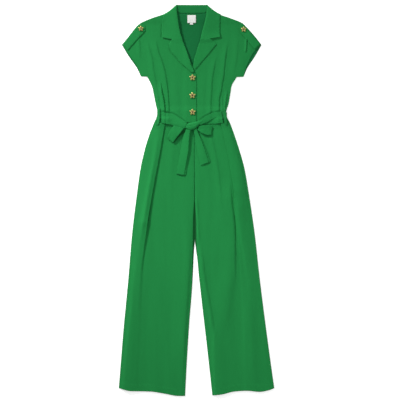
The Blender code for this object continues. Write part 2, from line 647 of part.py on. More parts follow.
def front_leg(name, outer, inner, pleat, hem, side, parent):
    """Rows from the waist to the hem: outer panel, pleat, inner panel."""
    rows = []
    for r in range(LEG_DOWN + 1):
        t = r / LEG_DOWN
        at = lerp(WAIST_SEAM, outer[-1].v, t)
        outer_u = column(outer, "v", "u", at)
        inner_u = column(inner, "v", "u", at)
        lip_u = column(pleat, "v", "u", at)
        path = pleat_path(column(pleat, "v", "underlay", at), column(pleat, "v", "turn", at))
        total_drop = -path[-1][1]
        start_u = lip_u + side * PLEAT_RADIUS
        stops = []
        for c in range(OUTER_PANEL_STEPS):
            s = c / OUTER_PANEL_STEPS
            stops.append((lerp(outer_u, start_u, s), total_drop * smooth(s * PANEL_RISE)))
        for forward, drop in path:
            stops.append((start_u - side * forward, total_drop + drop))
        end_u = stops[-1][0]
        for c in range(1, INNER_PANEL_STEPS + 1):
            stops.append((lerp(end_u, inner_u, c / INNER_PANEL_STEPS), 0.0))
        line = []
        for u, raised in stops:
            v = leg_level(u, t, hem)
            reach = min(abs(u - outer_u), abs(u - inner_u))
            rise = seam_share(reach) * (EDGE_PUFF + folds_height(u, v))
            height = front_base(u, v) + rise + raised
            line.append(Vector((u, v, height)))
        rows.append(line if side < 0 else line[::-1])
    return sheet(name, rows, parent)


# ---------------------------------------------------------------- belt

def belt_back(parent):
    """The belt's run under the back waist, flat on the surface."""
    rows = []
    for v in (BELT_MIDDLE + BELT_WIDTH / 2, BELT_MIDDLE, BELT_MIDDLE - BELT_WIDTH / 2):
        line = []
        for c in range(BELT_BACK_STEPS + 1):
            u = lerp(-BELT_SIDE, BELT_SIDE, c / BELT_BACK_STEPS)
            line.append(Vector((u, v, WALL / 2)))
        rows.append(line)
    return sheet("belt_back", rows, parent)


def belt_knot(parent):
    """The wrapped knot: one rounded solid, its hidden layers together."""
    around = KNOT_AROUND
    rings = KNOT_RINGS
    tilt = radians(KNOT_TILT)
    middle_h = (KNOT_LOW + KNOT_TOP) / 2
    half_h = (KNOT_TOP - KNOT_LOW) / 2
    points = []
    for i in range(1, rings):
        polar = pi * i / rings
        for k in range(around):
            turn = 2 * pi * k / around
            along = -cos(polar) * KNOT_HALF_LENGTH
            across = sin(polar) ** KNOT_FULLNESS * cos(turn) * KNOT_HALF_WIDTH
            high = sin(polar) ** KNOT_FULLNESS * sin(turn) * half_h
            points.append(Vector((KNOT_MIDDLE.u + along * cos(tilt) - across * sin(tilt),
                                  KNOT_MIDDLE.v + along * sin(tilt) + across * cos(tilt),
                                  middle_h + high)))
    for end in (-1, 1):
        along = end * KNOT_HALF_LENGTH
        points.append(Vector((KNOT_MIDDLE.u + along * cos(tilt),
                              KNOT_MIDDLE.v + along * sin(tilt), middle_h)))
    start = len(points) - 2
    faces = []
    for k in range(around):
        nxt = (k + 1) % around
        faces.append((start, nxt, k))
        last = (rings - 2) * around
        faces.append((start + 1, last + k, last + nxt))
        for i in range(rings - 2):
            a = i * around
            b = a + around
            faces.append((a + k, a + nxt, b + nxt, b + k))
    return add_object("belt_knot", points, faces, cloth("belt_knot"), parent)


def belt(parent):
    belt_back(parent)
    strip("belt_band_left", BAND_LEFT, parent, steps=3, flip=False)
    strip("belt_band_right", BAND_RIGHT, parent, steps=3, flip=True)
    strip("bow_loop_left", LOOP_LEFT, parent, steps=3, crown=0.4)
    strip("bow_loop_right", LOOP_RIGHT, parent, steps=3, crown=0.4, flip=True)
    strip("belt_tail_left", TAIL_LEFT, parent, steps=3)
    strip("belt_tail_right", TAIL_RIGHT, parent, steps=3)
    strip("belt_carrier_left", CARRIER_LEFT, parent, wide=1, crown=0)
    strip("belt_carrier_right", CARRIER_RIGHT, parent, wide=1, crown=0)
    belt_knot(parent)


# ---------------------------------------------------------------- buttons and label

def button(spot, seat, parent):
    """A five-petalled domed button with a round shank under it."""
    around = BUTTON_AROUND
    points = []
    for size, level, petals in BUTTON_RINGS:
        for k in range(around):
            turn = 2 * pi * k / around
            wave = 1 + petals * PETAL_DEPTH * (cos(BUTTON_PETALS * (turn - PETAL_TURN)) - 1)
            radius = BUTTON_SIZE / 2 * size * wave
            points.append(Vector((spot.u + radius * cos(turn), spot.v + radius * sin(turn),
                                  seat + BUTTON_HEIGHT * level)))
    points.append(Vector((spot.u, spot.v, seat)))
    points.append(Vector((spot.u, spot.v, seat + BUTTON_HEIGHT * BUTTON_MIDDLE)))
    low = len(points) - 2
    last = (len(BUTTON_RINGS) - 1) * around
    faces = []
    for k in range(around):
        nxt = (k + 1) % around
        faces.append((low, nxt, k))
        faces.append((low + 1, last + k, last + nxt))
        for i in range(len(BUTTON_RINGS) - 1):
            a = i * around
            b = a + around
            faces.append((a + k, a + nxt, b + nxt, b + k))
    finish = material(spot.name + "_brass", BRASS, 1.0, 0.32)
    return add_object(spot.name, points, faces, finish, parent)


def highest(height, spot):
    """The highest cloth under a button's shank."""
    reach = SHANK_SIZE / 2
    places = [(spot.u, spot.v)]
    places += [(spot.u + reach * cos(a), spot.v + reach * sin(a)) for a in (0, pi / 2, pi, -pi / 2)]
    return max(height(u, v) for u, v in places)


def buttons(parent):
    for spot in BUTTONS:
        seat = highest(lambda u, v: over_height(u, v, 0), spot) - WALL / 2
        button(spot, seat, parent)
    for spot in TAB_BUTTONS:
        seat = highest(lambda u, v: over_height(u, v, TAB_CROWN), spot) + WALL / 2 + LAY_GAP
        button(spot, seat, parent)


def neck_label(parent):
    """A bare woven square on the inside of the back, and its size tab under the lower edge."""
    finish = material("label_white", WHITE, 0.0, 0.7)
    middle = (LABEL_LEFT + LABEL_RIGHT) / 2
    outlines = (("neck_label", LABEL_LEFT, LABEL_RIGHT, LABEL_TOP, LABEL_LOW),
                ("size_tab", middle - SIZE_TAB_WIDTH / 2, middle + SIZE_TAB_WIDTH / 2,
                 LABEL_LOW - SEAM_GAP, LABEL_LOW - SIZE_TAB_DROP))
    for name, left, right, top, low in outlines:
        rows = []
        for r in range(LABEL_DOWN + 1):
            v = lerp(top, low, r / LABEL_DOWN)
            line = []
            for c in range(LABEL_ACROSS + 1):
                u = lerp(left, right, c / LABEL_ACROSS)
                line.append(Vector((u, v, back_height(u, v) + WALL + LAY_GAP)))
            rows.append(line)
        sheet(name, rows, parent, finish=finish, wall=LABEL_WALL)


# ---------------------------------------------------------------- the whole garment

def main():
    for old in list(bpy.data.objects):
        bpy.data.objects.remove(old, do_unlink=True)
    garment = bpy.data.objects.new("garment", None)
    middle_u = (HEM_LEFT + HEM_RIGHT) / 2
    middle_v = (COLLAR_TOP + HEM_LOW) / 2
    garment.location = (-middle_u * MM, -middle_v * MM, 0)
    bpy.context.collection.objects.link(garment)

    back_bodice(garment)
    front_bodice("front_bodice_left", SHOULDER_LEFT, SIDE_LEFT, NECK_LEFT, garment, True)
    front_bodice("front_bodice_right", SHOULDER_RIGHT, SIDE_RIGHT, NECK_RIGHT, garment, False)
    lapel("lapel_left", LAPEL_LEFT, garment, False)
    lapel("lapel_right", LAPEL_RIGHT, garment, True)
    collar(garment)
    sleeve_tabs(garment)
    back_leg("back_leg_left", OUTER_LEFT, BACK_INNER_LEFT, HEM_LEFT_CURVE, garment)
    back_leg("back_leg_right", OUTER_RIGHT, BACK_INNER_RIGHT, HEM_RIGHT_CURVE, garment)
    front_leg("front_leg_left", OUTER_LEFT, INNER_LEFT, PLEAT_LEFT, HEM_LEFT_CURVE, -1, garment)
    front_leg("front_leg_right", OUTER_RIGHT, INNER_RIGHT, PLEAT_RIGHT, HEM_RIGHT_CURVE, 1,
              garment)
    belt(garment)
    buttons(garment)
    neck_label(garment)


main()
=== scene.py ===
"""The looks of a palazzo jumpsuit laid flat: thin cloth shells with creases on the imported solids.

Sizes are millimetres in the garment's own axes: u runs to the right from the waist's middle, v runs
up from the waist towards the neck, and h is height above the floor.
"""

from collections import namedtuple
from math import pi, radians

import bpy
import numpy as np
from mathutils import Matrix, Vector

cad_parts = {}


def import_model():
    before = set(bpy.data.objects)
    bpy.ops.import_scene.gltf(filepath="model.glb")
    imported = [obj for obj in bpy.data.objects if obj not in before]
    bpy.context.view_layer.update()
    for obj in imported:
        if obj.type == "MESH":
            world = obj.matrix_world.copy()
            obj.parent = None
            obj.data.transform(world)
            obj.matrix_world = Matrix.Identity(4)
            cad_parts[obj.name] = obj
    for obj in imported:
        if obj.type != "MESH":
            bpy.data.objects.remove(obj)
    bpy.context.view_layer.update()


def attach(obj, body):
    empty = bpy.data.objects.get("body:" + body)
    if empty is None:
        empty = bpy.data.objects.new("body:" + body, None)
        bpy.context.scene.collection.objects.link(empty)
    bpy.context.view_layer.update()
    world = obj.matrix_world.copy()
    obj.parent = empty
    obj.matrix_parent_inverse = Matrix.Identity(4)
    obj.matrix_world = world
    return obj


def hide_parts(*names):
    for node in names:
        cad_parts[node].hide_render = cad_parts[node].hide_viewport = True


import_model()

MM = 0.001
MIDDLE_U = 16.0  # the row frame's origin in the garment's axes
MIDDLE_V = -319.75

# Cloth
WALL = 1.2  # layer pitch of the solids
SHELL = 0.8  # thickness that is shown
SEAM_GAP = 0.3
LAY_GAP = 0.5
EDGE_PUFF = 1.1  # how far a front stands off its seams
PUFF_WIDTH = 9.0
PUFF_POWER = 1.5
GROOVE_PLACE = 0.9  # in widths to the right of a crease's path
GROOVE_WIDTH = 2.2
LINE_STEP = 1.0  # along an outline
RIM_SHARE = 0.02  # of a table's row: how close to an edge its rim's line lies

# Belt
WAIST_SEAM = -21.0
BELT_WIDTH = 40.0
BELT_MIDDLE = -1.0
BELT_SIDE = 133.0
BELT_MARGIN = 4.0
BELT_POINTS = (80, 13)  # along and across its back run
UNDER_LIFT = WALL + LAY_GAP
LIFT_FADE = 25.0
FRONT_CLEARANCE = 0.3
PRESS_REACH = 30.0  # the bands press the fronts flat this far from their middle line
PRESS_FADE = 10.0
PRESSED_OUT = 0.7  # share of a crease that is lost there
BLOUSE = (0.7, 9, 4.5)  # height, place above a band's upper edge, and width
BLOUSE_DIP = (1.1, 1, 3)
BLOUSE_OUTER, OUTER_FADE = 118, 15
BLOUSE_INNER, INNER_FADE = 22, 10
BLOUSE_RIGHT = 0.6  # share of it on the right front

# Neck and fronts
BACK_CELLS = (190, 110)
FRONT_CELLS = (110, 180)
NECK_LIFT = 2.0
NECK_LIFT_WIDTH = 45.0
LIFT_TOP = 415.0
LIFT_START = 60.0
LIFT_END = 45.0
OVERLAP_START = -40.0
OVERLAP_RAMP = 22.0
OVERLAP_FALL = 2.0

# Collar
COLLAR_STEPS = 8  # rows between two rows of its table
FALL_POINTS = 18  # of a row, from the fall's edge to the roll
STAND_POINTS = 8
STAND_START = 0.1
ARC = (0.25, 0.5, 0.75, 1.0)  # points on each half of the roll
ROLL_RADIUS = 1.1
ROLL_REACH = 4.5
COLLAR_LYING = 0.99  # turned further than this, the fall lies on a front
COLLAR_REST = 0.2
COLLAR_FRONT_ROWS = 32  # rows of the collar that lie on a front
COLLAR_BARE_ROWS = 2  # and those at its ends without stitches
COLLAR_FALL_LOW = 378.0
COLLAR_SAG = 3.0
SAG_TURN = 1.2
SAG_OUTSIDE = 45.0

# Lapels
LAPEL_STEPS = 10
LAPEL_POINTS = 25
LAPEL_BARE_ROWS = 12
LAPEL_PUFF = 0.4  # share by which its middle stands higher than its edge
LAPEL_PUFF_WIDTH = 9
LAPEL_ROLL_START = 3
LAPEL_ROLL_DIP = 0.25
LAPEL_ROLL_WIDTH = 2
LAPEL_FULL_WIDTH = 14  # a narrower lapel lies lower
GORGE_BLEND = 16.0

# Stitches and hems
STITCH = 2.4
STITCH_PITCH = 3.2
THREAD = 0.45
STITCH_FACES = ((4, 5, 6, 7), (3, 2, 1, 0), (0, 1, 5, 4), (1, 2, 6, 5), (2, 3, 7, 6), (3, 0, 4, 7))
STITCH_RINGS = ((0, 1, SHELL / 2 - 0.1), (0.2, 0.5, SHELL / 2 + THREAD / 2))  # share, width, level
HEM_DEEP = 26.0
HEM_RISE = 0.35
HEM_STEP = 2.5
PLACKET_STITCH = 6.0
SLEEVE_STITCH = 12.0
SLEEVE_ROW = 3  # of a front side's table: the sleeve hem's stitches end above it
EDGE_STITCH = 4.5
TAB_STITCH = 2.6
TAB_BARE_ROWS = 4

# Strips: tabs, belt, bow and carriers
STRIP_STEPS = 14  # rows between two rows of a table
CURL_DROP = 9
CURL_START, CURL_WIDTH = 0.80, 0.20
CURL_FADE = 0.1
SPLIT_LINE = ((0, 0.25, 0.7, 1), (0.47, 0.47, 0.8, 1.05))  # along the band, and across it
SPLIT_START, SPLIT_RAMP = 0.16, 0.12
SPLIT_DROP = 2.6
SPLIT_EDGE, SPLIT_WIDTH = 0.05, 0.10
SPLIT_GROOVE = (1.2, 0.04, 0.05)  # depth, place past the line, and width

# Knot
KNOT_STEPS = 8
KNOT_AROUND = 72
KNOT_LOW = 6.0
KNOT_ROUND = 0.8  # power of its section's sine
KNOT_FOLD = 0.9
KNOT_FOLD_PLACE, KNOT_FOLD_SLANT, KNOT_FOLD_WIDTH = 0.30, 0.25, 0.05
KNOT_FOLD_END, KNOT_FOLD_OUT, KNOT_FOLD_IN = 0.8, 0.3, 0.2

# Legs
BACK_LEG_ROWS = 260
BACK_LEG_POINTS = 61
FRONT_LEG_ROWS = 400
PANEL_POINTS = 29  # from the outer edge to the pleat's lip
UNDER_POINTS = 4  # under the lip
INNER_POINTS = 52  # from there to the inner edge
PANEL_RISE = 1.4
PANEL_LIFT_START = 0.35
PLEAT_RADIUS = 0.95
PLEAT_SOFTENING = 1.3  # an open fold is rounder than a closed one
PLEAT_ARC_STEPS = 7
DEEP_TURN = 150  # where the cloth turns further than this, the fold's inside is painted dark as shade
HUMP_BACK = 15.0  # a ridge this far behind the lip rounds the panel down to it
HUMP_WIDTH = 9.0
HUMP_LIFT = 2.0
HUMP_TURN = 160
BRIDGE_START = 34.0  # pieces across the pleat's lip ramp up to it
BRIDGE_WIDTH = 28.0
BRIDGE_TOP = 26.0
BRIDGE_FADE = 14.0

# Buttons: a ring is its radius, its level, and how deep its petals part
AROUND = 80
PETALS = 5
PETAL_PART = 0.52
PETAL_POWER = 1.3
VEIN = 0.4
VEIN_POWER = 6
VEIN_FROM = 2.94
MIDDLE_RISE = 0.1
PETAL_RINGS = ((3.0, 0.9, 0), (9.5, 1.0, 1), (11.8, 1.5, 1), (12.6, 2.1, 1), (12.2, 2.7, 1),
               (10.6, 3.4, 1), (8.2, 3.9, 0.9), (5.8, 4.1, 0.6), (4.2, 3.8, 0.3), (3.4, 3.4, 0))
DISC_RINGS = ((3.0, 0.0, 0), (7.6, 0.1, 0), (8.2, 0.8, 0), (7.4, 1.5, 0), (3.0, 1.6, 0))
BOSS_RINGS = ((2.0, 1.6, 0), (4.0, 1.8, 0), (4.1, 3.5, 0), (3.4, 4.1, 0), (1.8, 4.5, 0))
SEAT_REACH = 4.5

LABEL_POINTS = 15
LABEL_THICK = 0.5

# Tones of the green cloth, and factors on them for the thread and for its other sides, which are
# darker with painted shade: the collar stand, the wrong side and what lies deep in a fold
DARK_GREEN = (0.0104, 0.200, 0.0450)
LIGHT_GREEN = (0.0134, 0.236, 0.0545)
AS_CUT = (1.0, 1.0, 1.0)
# painted shade on the collar stand, which stands up facing away from the light
STAND_PAINTED_SHADE = (0.78, 0.855, 0.91)
# the cloth's wrong side, darkened with painted shade for the hollow inside the garment
WRONG_SIDE_PAINTED_SHADE = (0.47, 0.665, 0.77)
FOLD_PAINTED_SHADE = (0.4, 0.4, 0.4)  # painted shade for what lies deep in a fold, the loops' turned strands and the back legs' wrong side
THREAD_TONE = (1.12, 1.12, 1.12)
NOISE = "ShaderNodeTexNoise"
WAVE = "ShaderNodeTexWave"

# Floor, in metres, and camera
FLOOR_HALF = 60.0
FLOOR_LEVEL = -0.0005
PHOTO_WIDTH = 400 * 3.85  # pixels by millimetres a pixel
LENS = 100.0
SENSOR = 36.0
CAMERA_PLACE = (0.0133, 0.0017)

Point = namedtuple("Point", "u v sharp", defaults=(False,))
Width = namedtuple("Width", "v u")
Pleat = namedtuple("Pleat", "v u underlay turn lift")
Leg = namedtuple("Leg", "side outer inner back_inner pleat hem shade hump")
Crease = namedtuple("Crease", "path height left right groove fade_top fade_end")
CollarRow = namedtuple("CollarRow", "outer_u outer_v outer_h roll_u roll_v roll_h "
                                    "seam_u seam_v seam_h turn")
LapelRow = namedtuple("LapelRow", "outer_u outer_v roll_u roll_v")
StripRow = namedtuple("StripRow", "a_u a_v a_lift b_u b_v b_lift")
KnotRow = namedtuple("KnotRow", "upper_u upper_v lower_u lower_v top")
Spot = namedtuple("Spot", "name u v")
Cut = namedtuple("Cut", "piece width length area held on also", defaults=((), ()))
SHARP = True


def make_table(kind, *rows):
    return tuple(kind(*row) for row in rows)


OUTER_LEFT = make_table(Width, (-21, -147.5), (-60, -163), (-120, -182), (-200, -200), (-300, -214),
    (-450, -232), (-620, -246), (-820, -264.5), (-1057, -283))
OUTER_RIGHT = make_table(Width, (-21, 144.5), (-60, 159), (-120, 179), (-200, 201), (-300, 218),
    (-450, 240), (-620, 259), (-820, 284), (-1057, 315))
INNER_LEFT = make_table(Width, (-21, 7.85), (-310, 7.8), (-350, 5.6), (-400, 3.4), (-474, 2.6),
    (-540, 1.6), (-620, 0), (-780, -12), (-940, -22), (-1057, -28))
INNER_RIGHT = make_table(Width, (-21, 8.15), (-310, 9.4), (-350, 12), (-400, 14.8), (-474, 15.8),
    (-550, 20.3), (-700, 36), (-860, 55), (-1057, 77))
BACK_INNER_LEFT = make_table(Width, (-21, 10), (-462, 9.8), (-500, 6.5), (-620, 0.6), (-780, -12),
    (-940, -22), (-1057, -28))
BACK_INNER_RIGHT = make_table(Width, (-21, 10), (-462, 9.8), (-500, 13.5), (-550, 20.3), (-700, 36),
    (-860, 55), (-1057, 77))
HEM_LEFT_CURVE = make_table(Width, (-1042, -283), (-1053, -235), (-1055, -160), (-1063, -108),
    (-1072, -52), (-1072, -28))
HEM_RIGHT_CURVE = make_table(Width, (-1070, 77), (-1065, 117), (-1055, 161), (-1052, 211),
    (-1056, 259), (-1050, 294), (-1042, 315))

PLEAT_LEFT = make_table(Pleat, (-21, -105, 14, 180, 0), (-120, -122, 14, 180, 1.0),
    (-280, -151.5, 12, 180, 2.0), (-380, -168, 6, 170, 2.2), (-430, -176, 1, 90, 1.9),
    (-490, -185, 1, 44, 1.6), (-550, -194, 1, 26, 1.3), (-620, -202, 1, 12, 0.8),
    (-820, -212, 1, 5, 0.2), (-1057, -222, 1, 4, 0))
PLEAT_RIGHT = make_table(Pleat, (-21, 109, 12, 180, 0), (-150, 137, 10, 180, 0),
    (-250, 154, 5, 170, 0), (-320, 166, 1, 70, 0), (-420, 176, 1, 30, 0), (-570, 190, 1, 12, 0),
    (-770, 202, 1, 6, 0), (-1057, 210, 1, 5, 0))

SHOULDER_LEFT = make_table(Point, (-271.5, 279), (-247, 309), (-216, 348), (-196, 364), (-150, 383),
    (-119, 393), (-96, 401), (-74, 411))
SHOULDER_RIGHT = make_table(Point, (266, 279), (243, 309), (208, 348), (190, 364), (142, 383),
    (112, 393), (92, 401), (71, 411))
SIDE_LEFT = make_table(Point, (-271.5, 279), (-245, 235), (-213, 189), (-198, 157.5, SHARP),
    (-174, 156.5, SHARP), (-157, 123), (-150, 96), (-141, 50), (-135.5, 24), (-137.5, 2),
    (-147.5, -21))
SIDE_RIGHT = make_table(Point, (266, 279), (241, 235), (211, 189), (197, 156, SHARP),
    (171, 155, SHARP), (152, 123), (147, 96), (139, 50), (131, 24), (133, 2), (144.5, -21))
FRONT_SIDE_LEFT = make_table(Point, (-270, 280), (-241, 237.5), (-210, 191)) + SIDE_LEFT[3:]
FRONT_SIDE_RIGHT = make_table(Point, (262.5, 278), (248.5, 264, SHARP), (229.5, 240),
    (206.5, 191)) + SIDE_RIGHT[3:]
NECK_LEFT = make_table(Point, (-74, 411), (-69, 385), (-62, 337), (-51, 301, SHARP), (-41, 293),
    (-20, 238), (-9, 205), (3, 180), (15.5, 166, SHARP), (15.5, 75), (15.5, -21))
NECK_RIGHT = make_table(Point, (71, 411), (66, 385), (56, 338), (47, 312, SHARP), (34, 303),
    (22, 267), (8, 227), (2, 200), (-12, 168, SHARP), (-12, 75), (-12, -21))
BACK_NECK = make_table(Point, (-74, 408, SHARP), (-58, 402.5), (-44, 399.5), (0, 399), (44, 399.5),
    (56, 402.5), (71, 408, SHARP))
OVERLAP_EDGE = make_table(Width, (-21, 15.5), (166, 15.5), (205, -8), (432, -8))
NECK_EDGE = make_table(Width, (160, 12), (181, 6), (240, -9), (290, -25), (340, -42), (390, -55),
    (432, -61))

# Creases: path from top to end as (v, u), ridge height with its widths left and right of the
# path, depth of the groove at its right foot, and fades as shares of the length
CREASES = make_table(Crease,
    # left front
    (((307, -144), (247, -131), (220, -120), (162, -104.6), (104, -97), (65, -93.5),
      (35, -92.5), (-30, -91)), 3.4, 17, 5, 1.3, 0.15, 0.1),
    (((300, -177), (277, -171.5), (219, -156), (186, -152), (162, -148.5), (130, -142),
      (80, -134)), 2.4, 13, 6, 0.5, 0.2, 0.4),
    (((152, -124), (127, -121), (104, -118.6), (81, -114), (65, -110.8), (35, -107.5),
      (-30, -105)), 5.8, 12, 3.4, 4.0, 0.36, 0.05),
    (((330, -207), (300, -206), (243, -203), (200, -201)), 1.8, 11, 6, 0.5, 0.3, 0.5),
    (((200, -70), (120, -62), (40, -58), (-30, -57)), 1.2, 16, 12, 0, 0.5, 0.1),
    (((120, -139), (70, -132), (35, -128), (20, -126), (-30, -124)),
     2.0, 6, 4.5, 0.8, 0.4, 0.1),
    (((272, -91), (249, -82), (231, -65.5), (206.5, -45.5), (184, -20)),
     0, 1, 0.1, 2.2, 0.2, 0.1),
    (((360, -118), (330, -118.5), (304, -119)), 0, 1, 0.1, 1.8, 0.15, 0.15),
    # right front
    (((300, 135), (246, 127), (220, 123.8), (162, 117.8), (127, 112), (104, 108.5),
      (65, 101), (35, 100.6), (-30, 99.5)), 3.2, 14, 6, 1.4, 0.2, 0.05),
    (((248, 92), (220, 87), (162, 76.5), (127, 72.5), (104, 72), (65, 68.7), (35, 68.5),
      (-30, 68.5)), 2.4, 13, 6, 0.8, 0.2, 0.1),
    (((112, 134), (85, 131.5), (65, 129), (44, 126), (-10, 122)), 4.2, 6, 4, 2.0, 0.35, 0.1),
    (((92, 114), (65, 115.2), (35, 116.5), (-10, 117)), 1.6, 5, 3, 1.0, 0.4, 0.1),
    (((326, 173), (239, 168.5), (220, 166), (186, 161), (162, 157), (120, 150)),
     1.4, 14, 8, 0.3, 0.3, 0.5),
    (((306, 209.5), (296, 208.6), (285, 208), (247, 205)), 3.4, 5, 3.5, 2.6, 0.15, 0.15),
    (((200, 44), (100, 40), (-30, 40)), 0.9, 14, 10, 0, 0.5, 0.1),
    # left leg
    (((-20, -72), (-150, -78), (-330, -88)), 1.6, 18, 14, 0, 0, 0.6),
    (((-330, -4), (-480, -9), (-743, -25), (-897, -33), (-1090, -43)),
     4.0, 34, 8, 0, 0.4, 0.3),
    (((-420, -112), (-700, -136), (-1090, -150)), 1.0, 30, 26, 0, 0.5, 0),
    (((-430, -208), (-600, -220), (-743, -231), (-897, -248), (-1090, -263)),
     4.6, 14, 46, 0, 0.35, 0),
    # right leg
    (((-20, 60), (-154, 88), (-243, 102), (-300, 107), (-420, 112)),
     2.0, 14, 8, 0.5, 0.2, 0.5),
    (((-20, 36), (-140, 48), (-260, 60)), 1.2, 16, 14, 0, 0.1, 0.6),
    (((-290, 13), (-320, 15), (-396, 19.5), (-435, 21), (-500, 27)),
     6.0, 6, 6, 1.4, 0.2, 0.35),
    (((-470, 27), (-589, 39), (-743, 66), (-900, 90)), 4.4, 8, 12, 1.2, 0.25, 0.3),
    (((-230, 138), (-320, 145), (-435, 157), (-589, 159), (-680, 152)),
     5.6, 42, 11.5, 2.4, 0.2, 0.4),
    (((-540, 150), (-743, 128), (-860, 112)), 5.0, 40, 24, 0, 0.4, 0.4),
    (((-740, 104), (-897, 86), (-1090, 92)), 5.0, 12, 52, 0, 0.45, 0),
    (((-21, 128), (-60, 145), (-120, 165), (-200, 187), (-300, 205), (-430, 228)),
     5.0, 46, 8, 0, 0.15, 0.5),
    (((-290, 170), (-320, 174), (-435, 187), (-589, 210), (-700, 220)),
     3.0, 8, 24, 0, 0.15, 0.5),
    (((-560, 210), (-743, 222), (-897, 224), (-1090, 236)), 3.2, 30, 20, 0, 0.4, 0.3),
)

COLLAR_LEFT = make_table(CollarRow,
    (-118, 307.5, 8.4, -37.5, 293.5, 9.0, -46, 296, 6.4, 1),
    (-117, 335, 4.8, -49.5, 334, 10.0, -58, 335, 6.6, 1),
    (-116, 365, 5.6, -55, 368, 10.8, -64, 369, 7.2, 1),
    (-114, 381, 6.2, -59.5, 398, 10.8, -67.5, 398, 7.2, 1),
    (-112, 389, 6.8, -61.5, 423, 9.6, -68, 411, 5.2, 1),
    (-113, 395, 3.4, -61.5, 431.5, 5.6, -65.5, 415.5, 4.0, 0),
    (-112, 394.5, 1.2, -59, 432, 4.2, -60.5, 411, 3.6, -0.5),
    (-106, 391, 0.6, -53, 431.5, 2.6, -54, 402.5, 3.2, -1),
    (-80, 386, 0.6, -42, 431.5, 1.8, -43, 400.6, 2.7, -1),
    (-40, 383.5, 0.6, -21, 431.3, 1.7, -22, 400.2, 2.6, -1))
COLLAR_MIDDLE = CollarRow(0, 383, 0.6, -2, 431, 1.7, -1, 400, 2.6, -1)
COLLAR_RIGHT = make_table(CollarRow,
    (38, 383.5, 0.6, 18, 431.3, 1.7, 20, 400.2, 2.6, -1),
    (76, 386, 0.6, 38, 431.5, 1.8, 41, 400.6, 2.7, -1),
    (102, 391, 0.6, 50, 431.5, 2.6, 51, 402.5, 3.2, -1),
    (108, 395.5, 1.2, 55, 432, 4.2, 56.5, 411, 3.6, -0.5),
    (109, 396, 3.4, 57, 431.5, 5.6, 61, 415.5, 4.0, 0),
    (108, 391, 6.8, 56, 423, 8.8, 62.5, 411, 5.2, 1),
    (107, 383, 6.2, 54, 396, 9.8, 62, 396, 7.2, 1),
    (106, 362, 5.6, 48, 366, 9.9, 57, 368, 7.2, 1),
    (106, 335, 4.8, 40, 336, 9.4, 49, 337, 6.6, 1),
    (108, 309, 9.0, 31, 297, 9.0, 40, 299, 6.4, 1))

LAPEL_LEFT = make_table(LapelRow, (-78, 301, -37.5, 293.2), (-93, 280, -32, 280),
    (-79, 249, -22, 255), (-62.5, 231, -14, 232), (-42.5, 206.5, -6.5, 210), (-17, 184, 1, 190),
    (-2, 171, 7, 176))
LAPEL_RIGHT = make_table(LapelRow, (66, 302.5, 31, 296.7), (76, 297, 29, 291), (93, 281, 24, 281),
    (75, 259, 16, 254), (56, 237, 9, 232), (34, 211.5, 5, 214), (18, 193, 4, 200),
    (8, 182, 5.5, 186))

TAB_LEFT = make_table(StripRow, (-197, 359, 0, -183, 354, 0), (-206, 351, 0.6, -181.5, 336, 0.6),
    (-232, 320, 1.2, -212, 300, 0.9), (-264, 280, 0.4, -249.5, 258, 0.8))
TAB_RIGHT = make_table(StripRow, (193, 359, 0, 179, 354, 0), (203, 350, 0.6, 178, 337, 0.6),
    (229, 320, 1.2, 204, 303, 1.6), (261, 281, 0.4, 240, 261, 1.6))

BAND_LEFT = make_table(StripRow, (-116, 19, 0, -120, -22, 0), (-78, 13, 1.2, -92, -28, 1.0),
    (-45, -6, 4.0, -62, -35, 3.0), (-19.5, -22.5, 8, -29.5, -43, 7))
BAND_RIGHT = make_table(StripRow, (112, 24, 0, 118, -22, 0), (78, 17, 1.2, 86, -25, 0.8),
    (47, 1, 4.5, 58, -26, 3.0), (24, -15, 8, 29.5, -30, 7))
LOOP_LEFT = make_table(StripRow, (-72, -32, 4, -32, -42, 7.5), (-86, -52, 6, -48, -62, 8.5),
    (-94, -70, 5, -65, -84, 6.5), (-98.5, -78, 3, -74, -98, 3.4), (-95, -77, 1.8, -69.5, -96, 1.6),
    (-78, -63, 0.9, -50.5, -75, 0.9), (-58, -46, 0.9, -22, -52, 0.9))
LOOP_RIGHT = make_table(StripRow, (28, -34, 8, 20, -49, 8), (45, -31, 7, 38, -62, 7),
    (66, -30, 5.0, 60, -69, 5.4), (77, -34, 2.2, 72, -69, 2.6), (73, -35, 1.4, 68, -65, 1.4),
    (50, -36, 0.9, 42, -59, 0.9), (30, -38, 0.9, 25, -50, 0.9))
TAIL_LEFT = make_table(StripRow, (-24, -46, 6, -6, -50, 8), (-36, -76, 2.0, -8, -80, 7.5),
    (-45, -121, 1.0, -9, -121, 7.0), (-54, -170, 0.8, -16, -168, 5.0),
    (-62, -219, 0.3, -26, -225, 1.8))
TAIL_RIGHT = make_table(StripRow, (4, -48, 6, 16, -44, 8), (11, -85, 2.0, 35, -80, 6.0),
    (15, -115, 1.2, 47, -109, 5.0), (22, -150, 0.8, 59, -138, 3.2), (33, -186, 0.3, 69, -171, 1.5))
CARRIER_LEFT = make_table(StripRow, (-133, 34, 0, -124, 34, 0), (-133.5, 22, 0.9, -124, 22, 0.9),
    (-137, -20, 1.2, -127.5, -21, 1.2), (-140, -28, 0.2, -131, -30, 0.2))
CARRIER_RIGHT = make_table(StripRow, (119, 38, 0, 128, 38, 0), (120, 26, 1.2, 129.5, 26, 1.2),
    (124, -21, 1.2, 133.5, -20, 1.2), (127, -30, 0.2, 136, -28, 0.2))
KNOT = make_table(KnotRow, (-28.5, -37, -25.5, -42.5, 13.5), (-26.5, -31, -19.5, -46, 15.5),
    (-16, -23, -7.5, -50.5, 17.8), (2, -19.3, 9, -45.5, 18.4), (18, -16, 22, -34, 17.4),
    (33, -8.5, 35, -25, 15.2), (43, -2.5, 45, -17, 13.0))

BUTTONS = make_table(Spot, ("button_top", 0.5, 153), ("button_middle", 0, 84),
    ("button_low", 0.5, 20))
TAB_BUTTONS = (Spot("tab_button_left", -198, 341), Spot("tab_button_right", 197, 338))

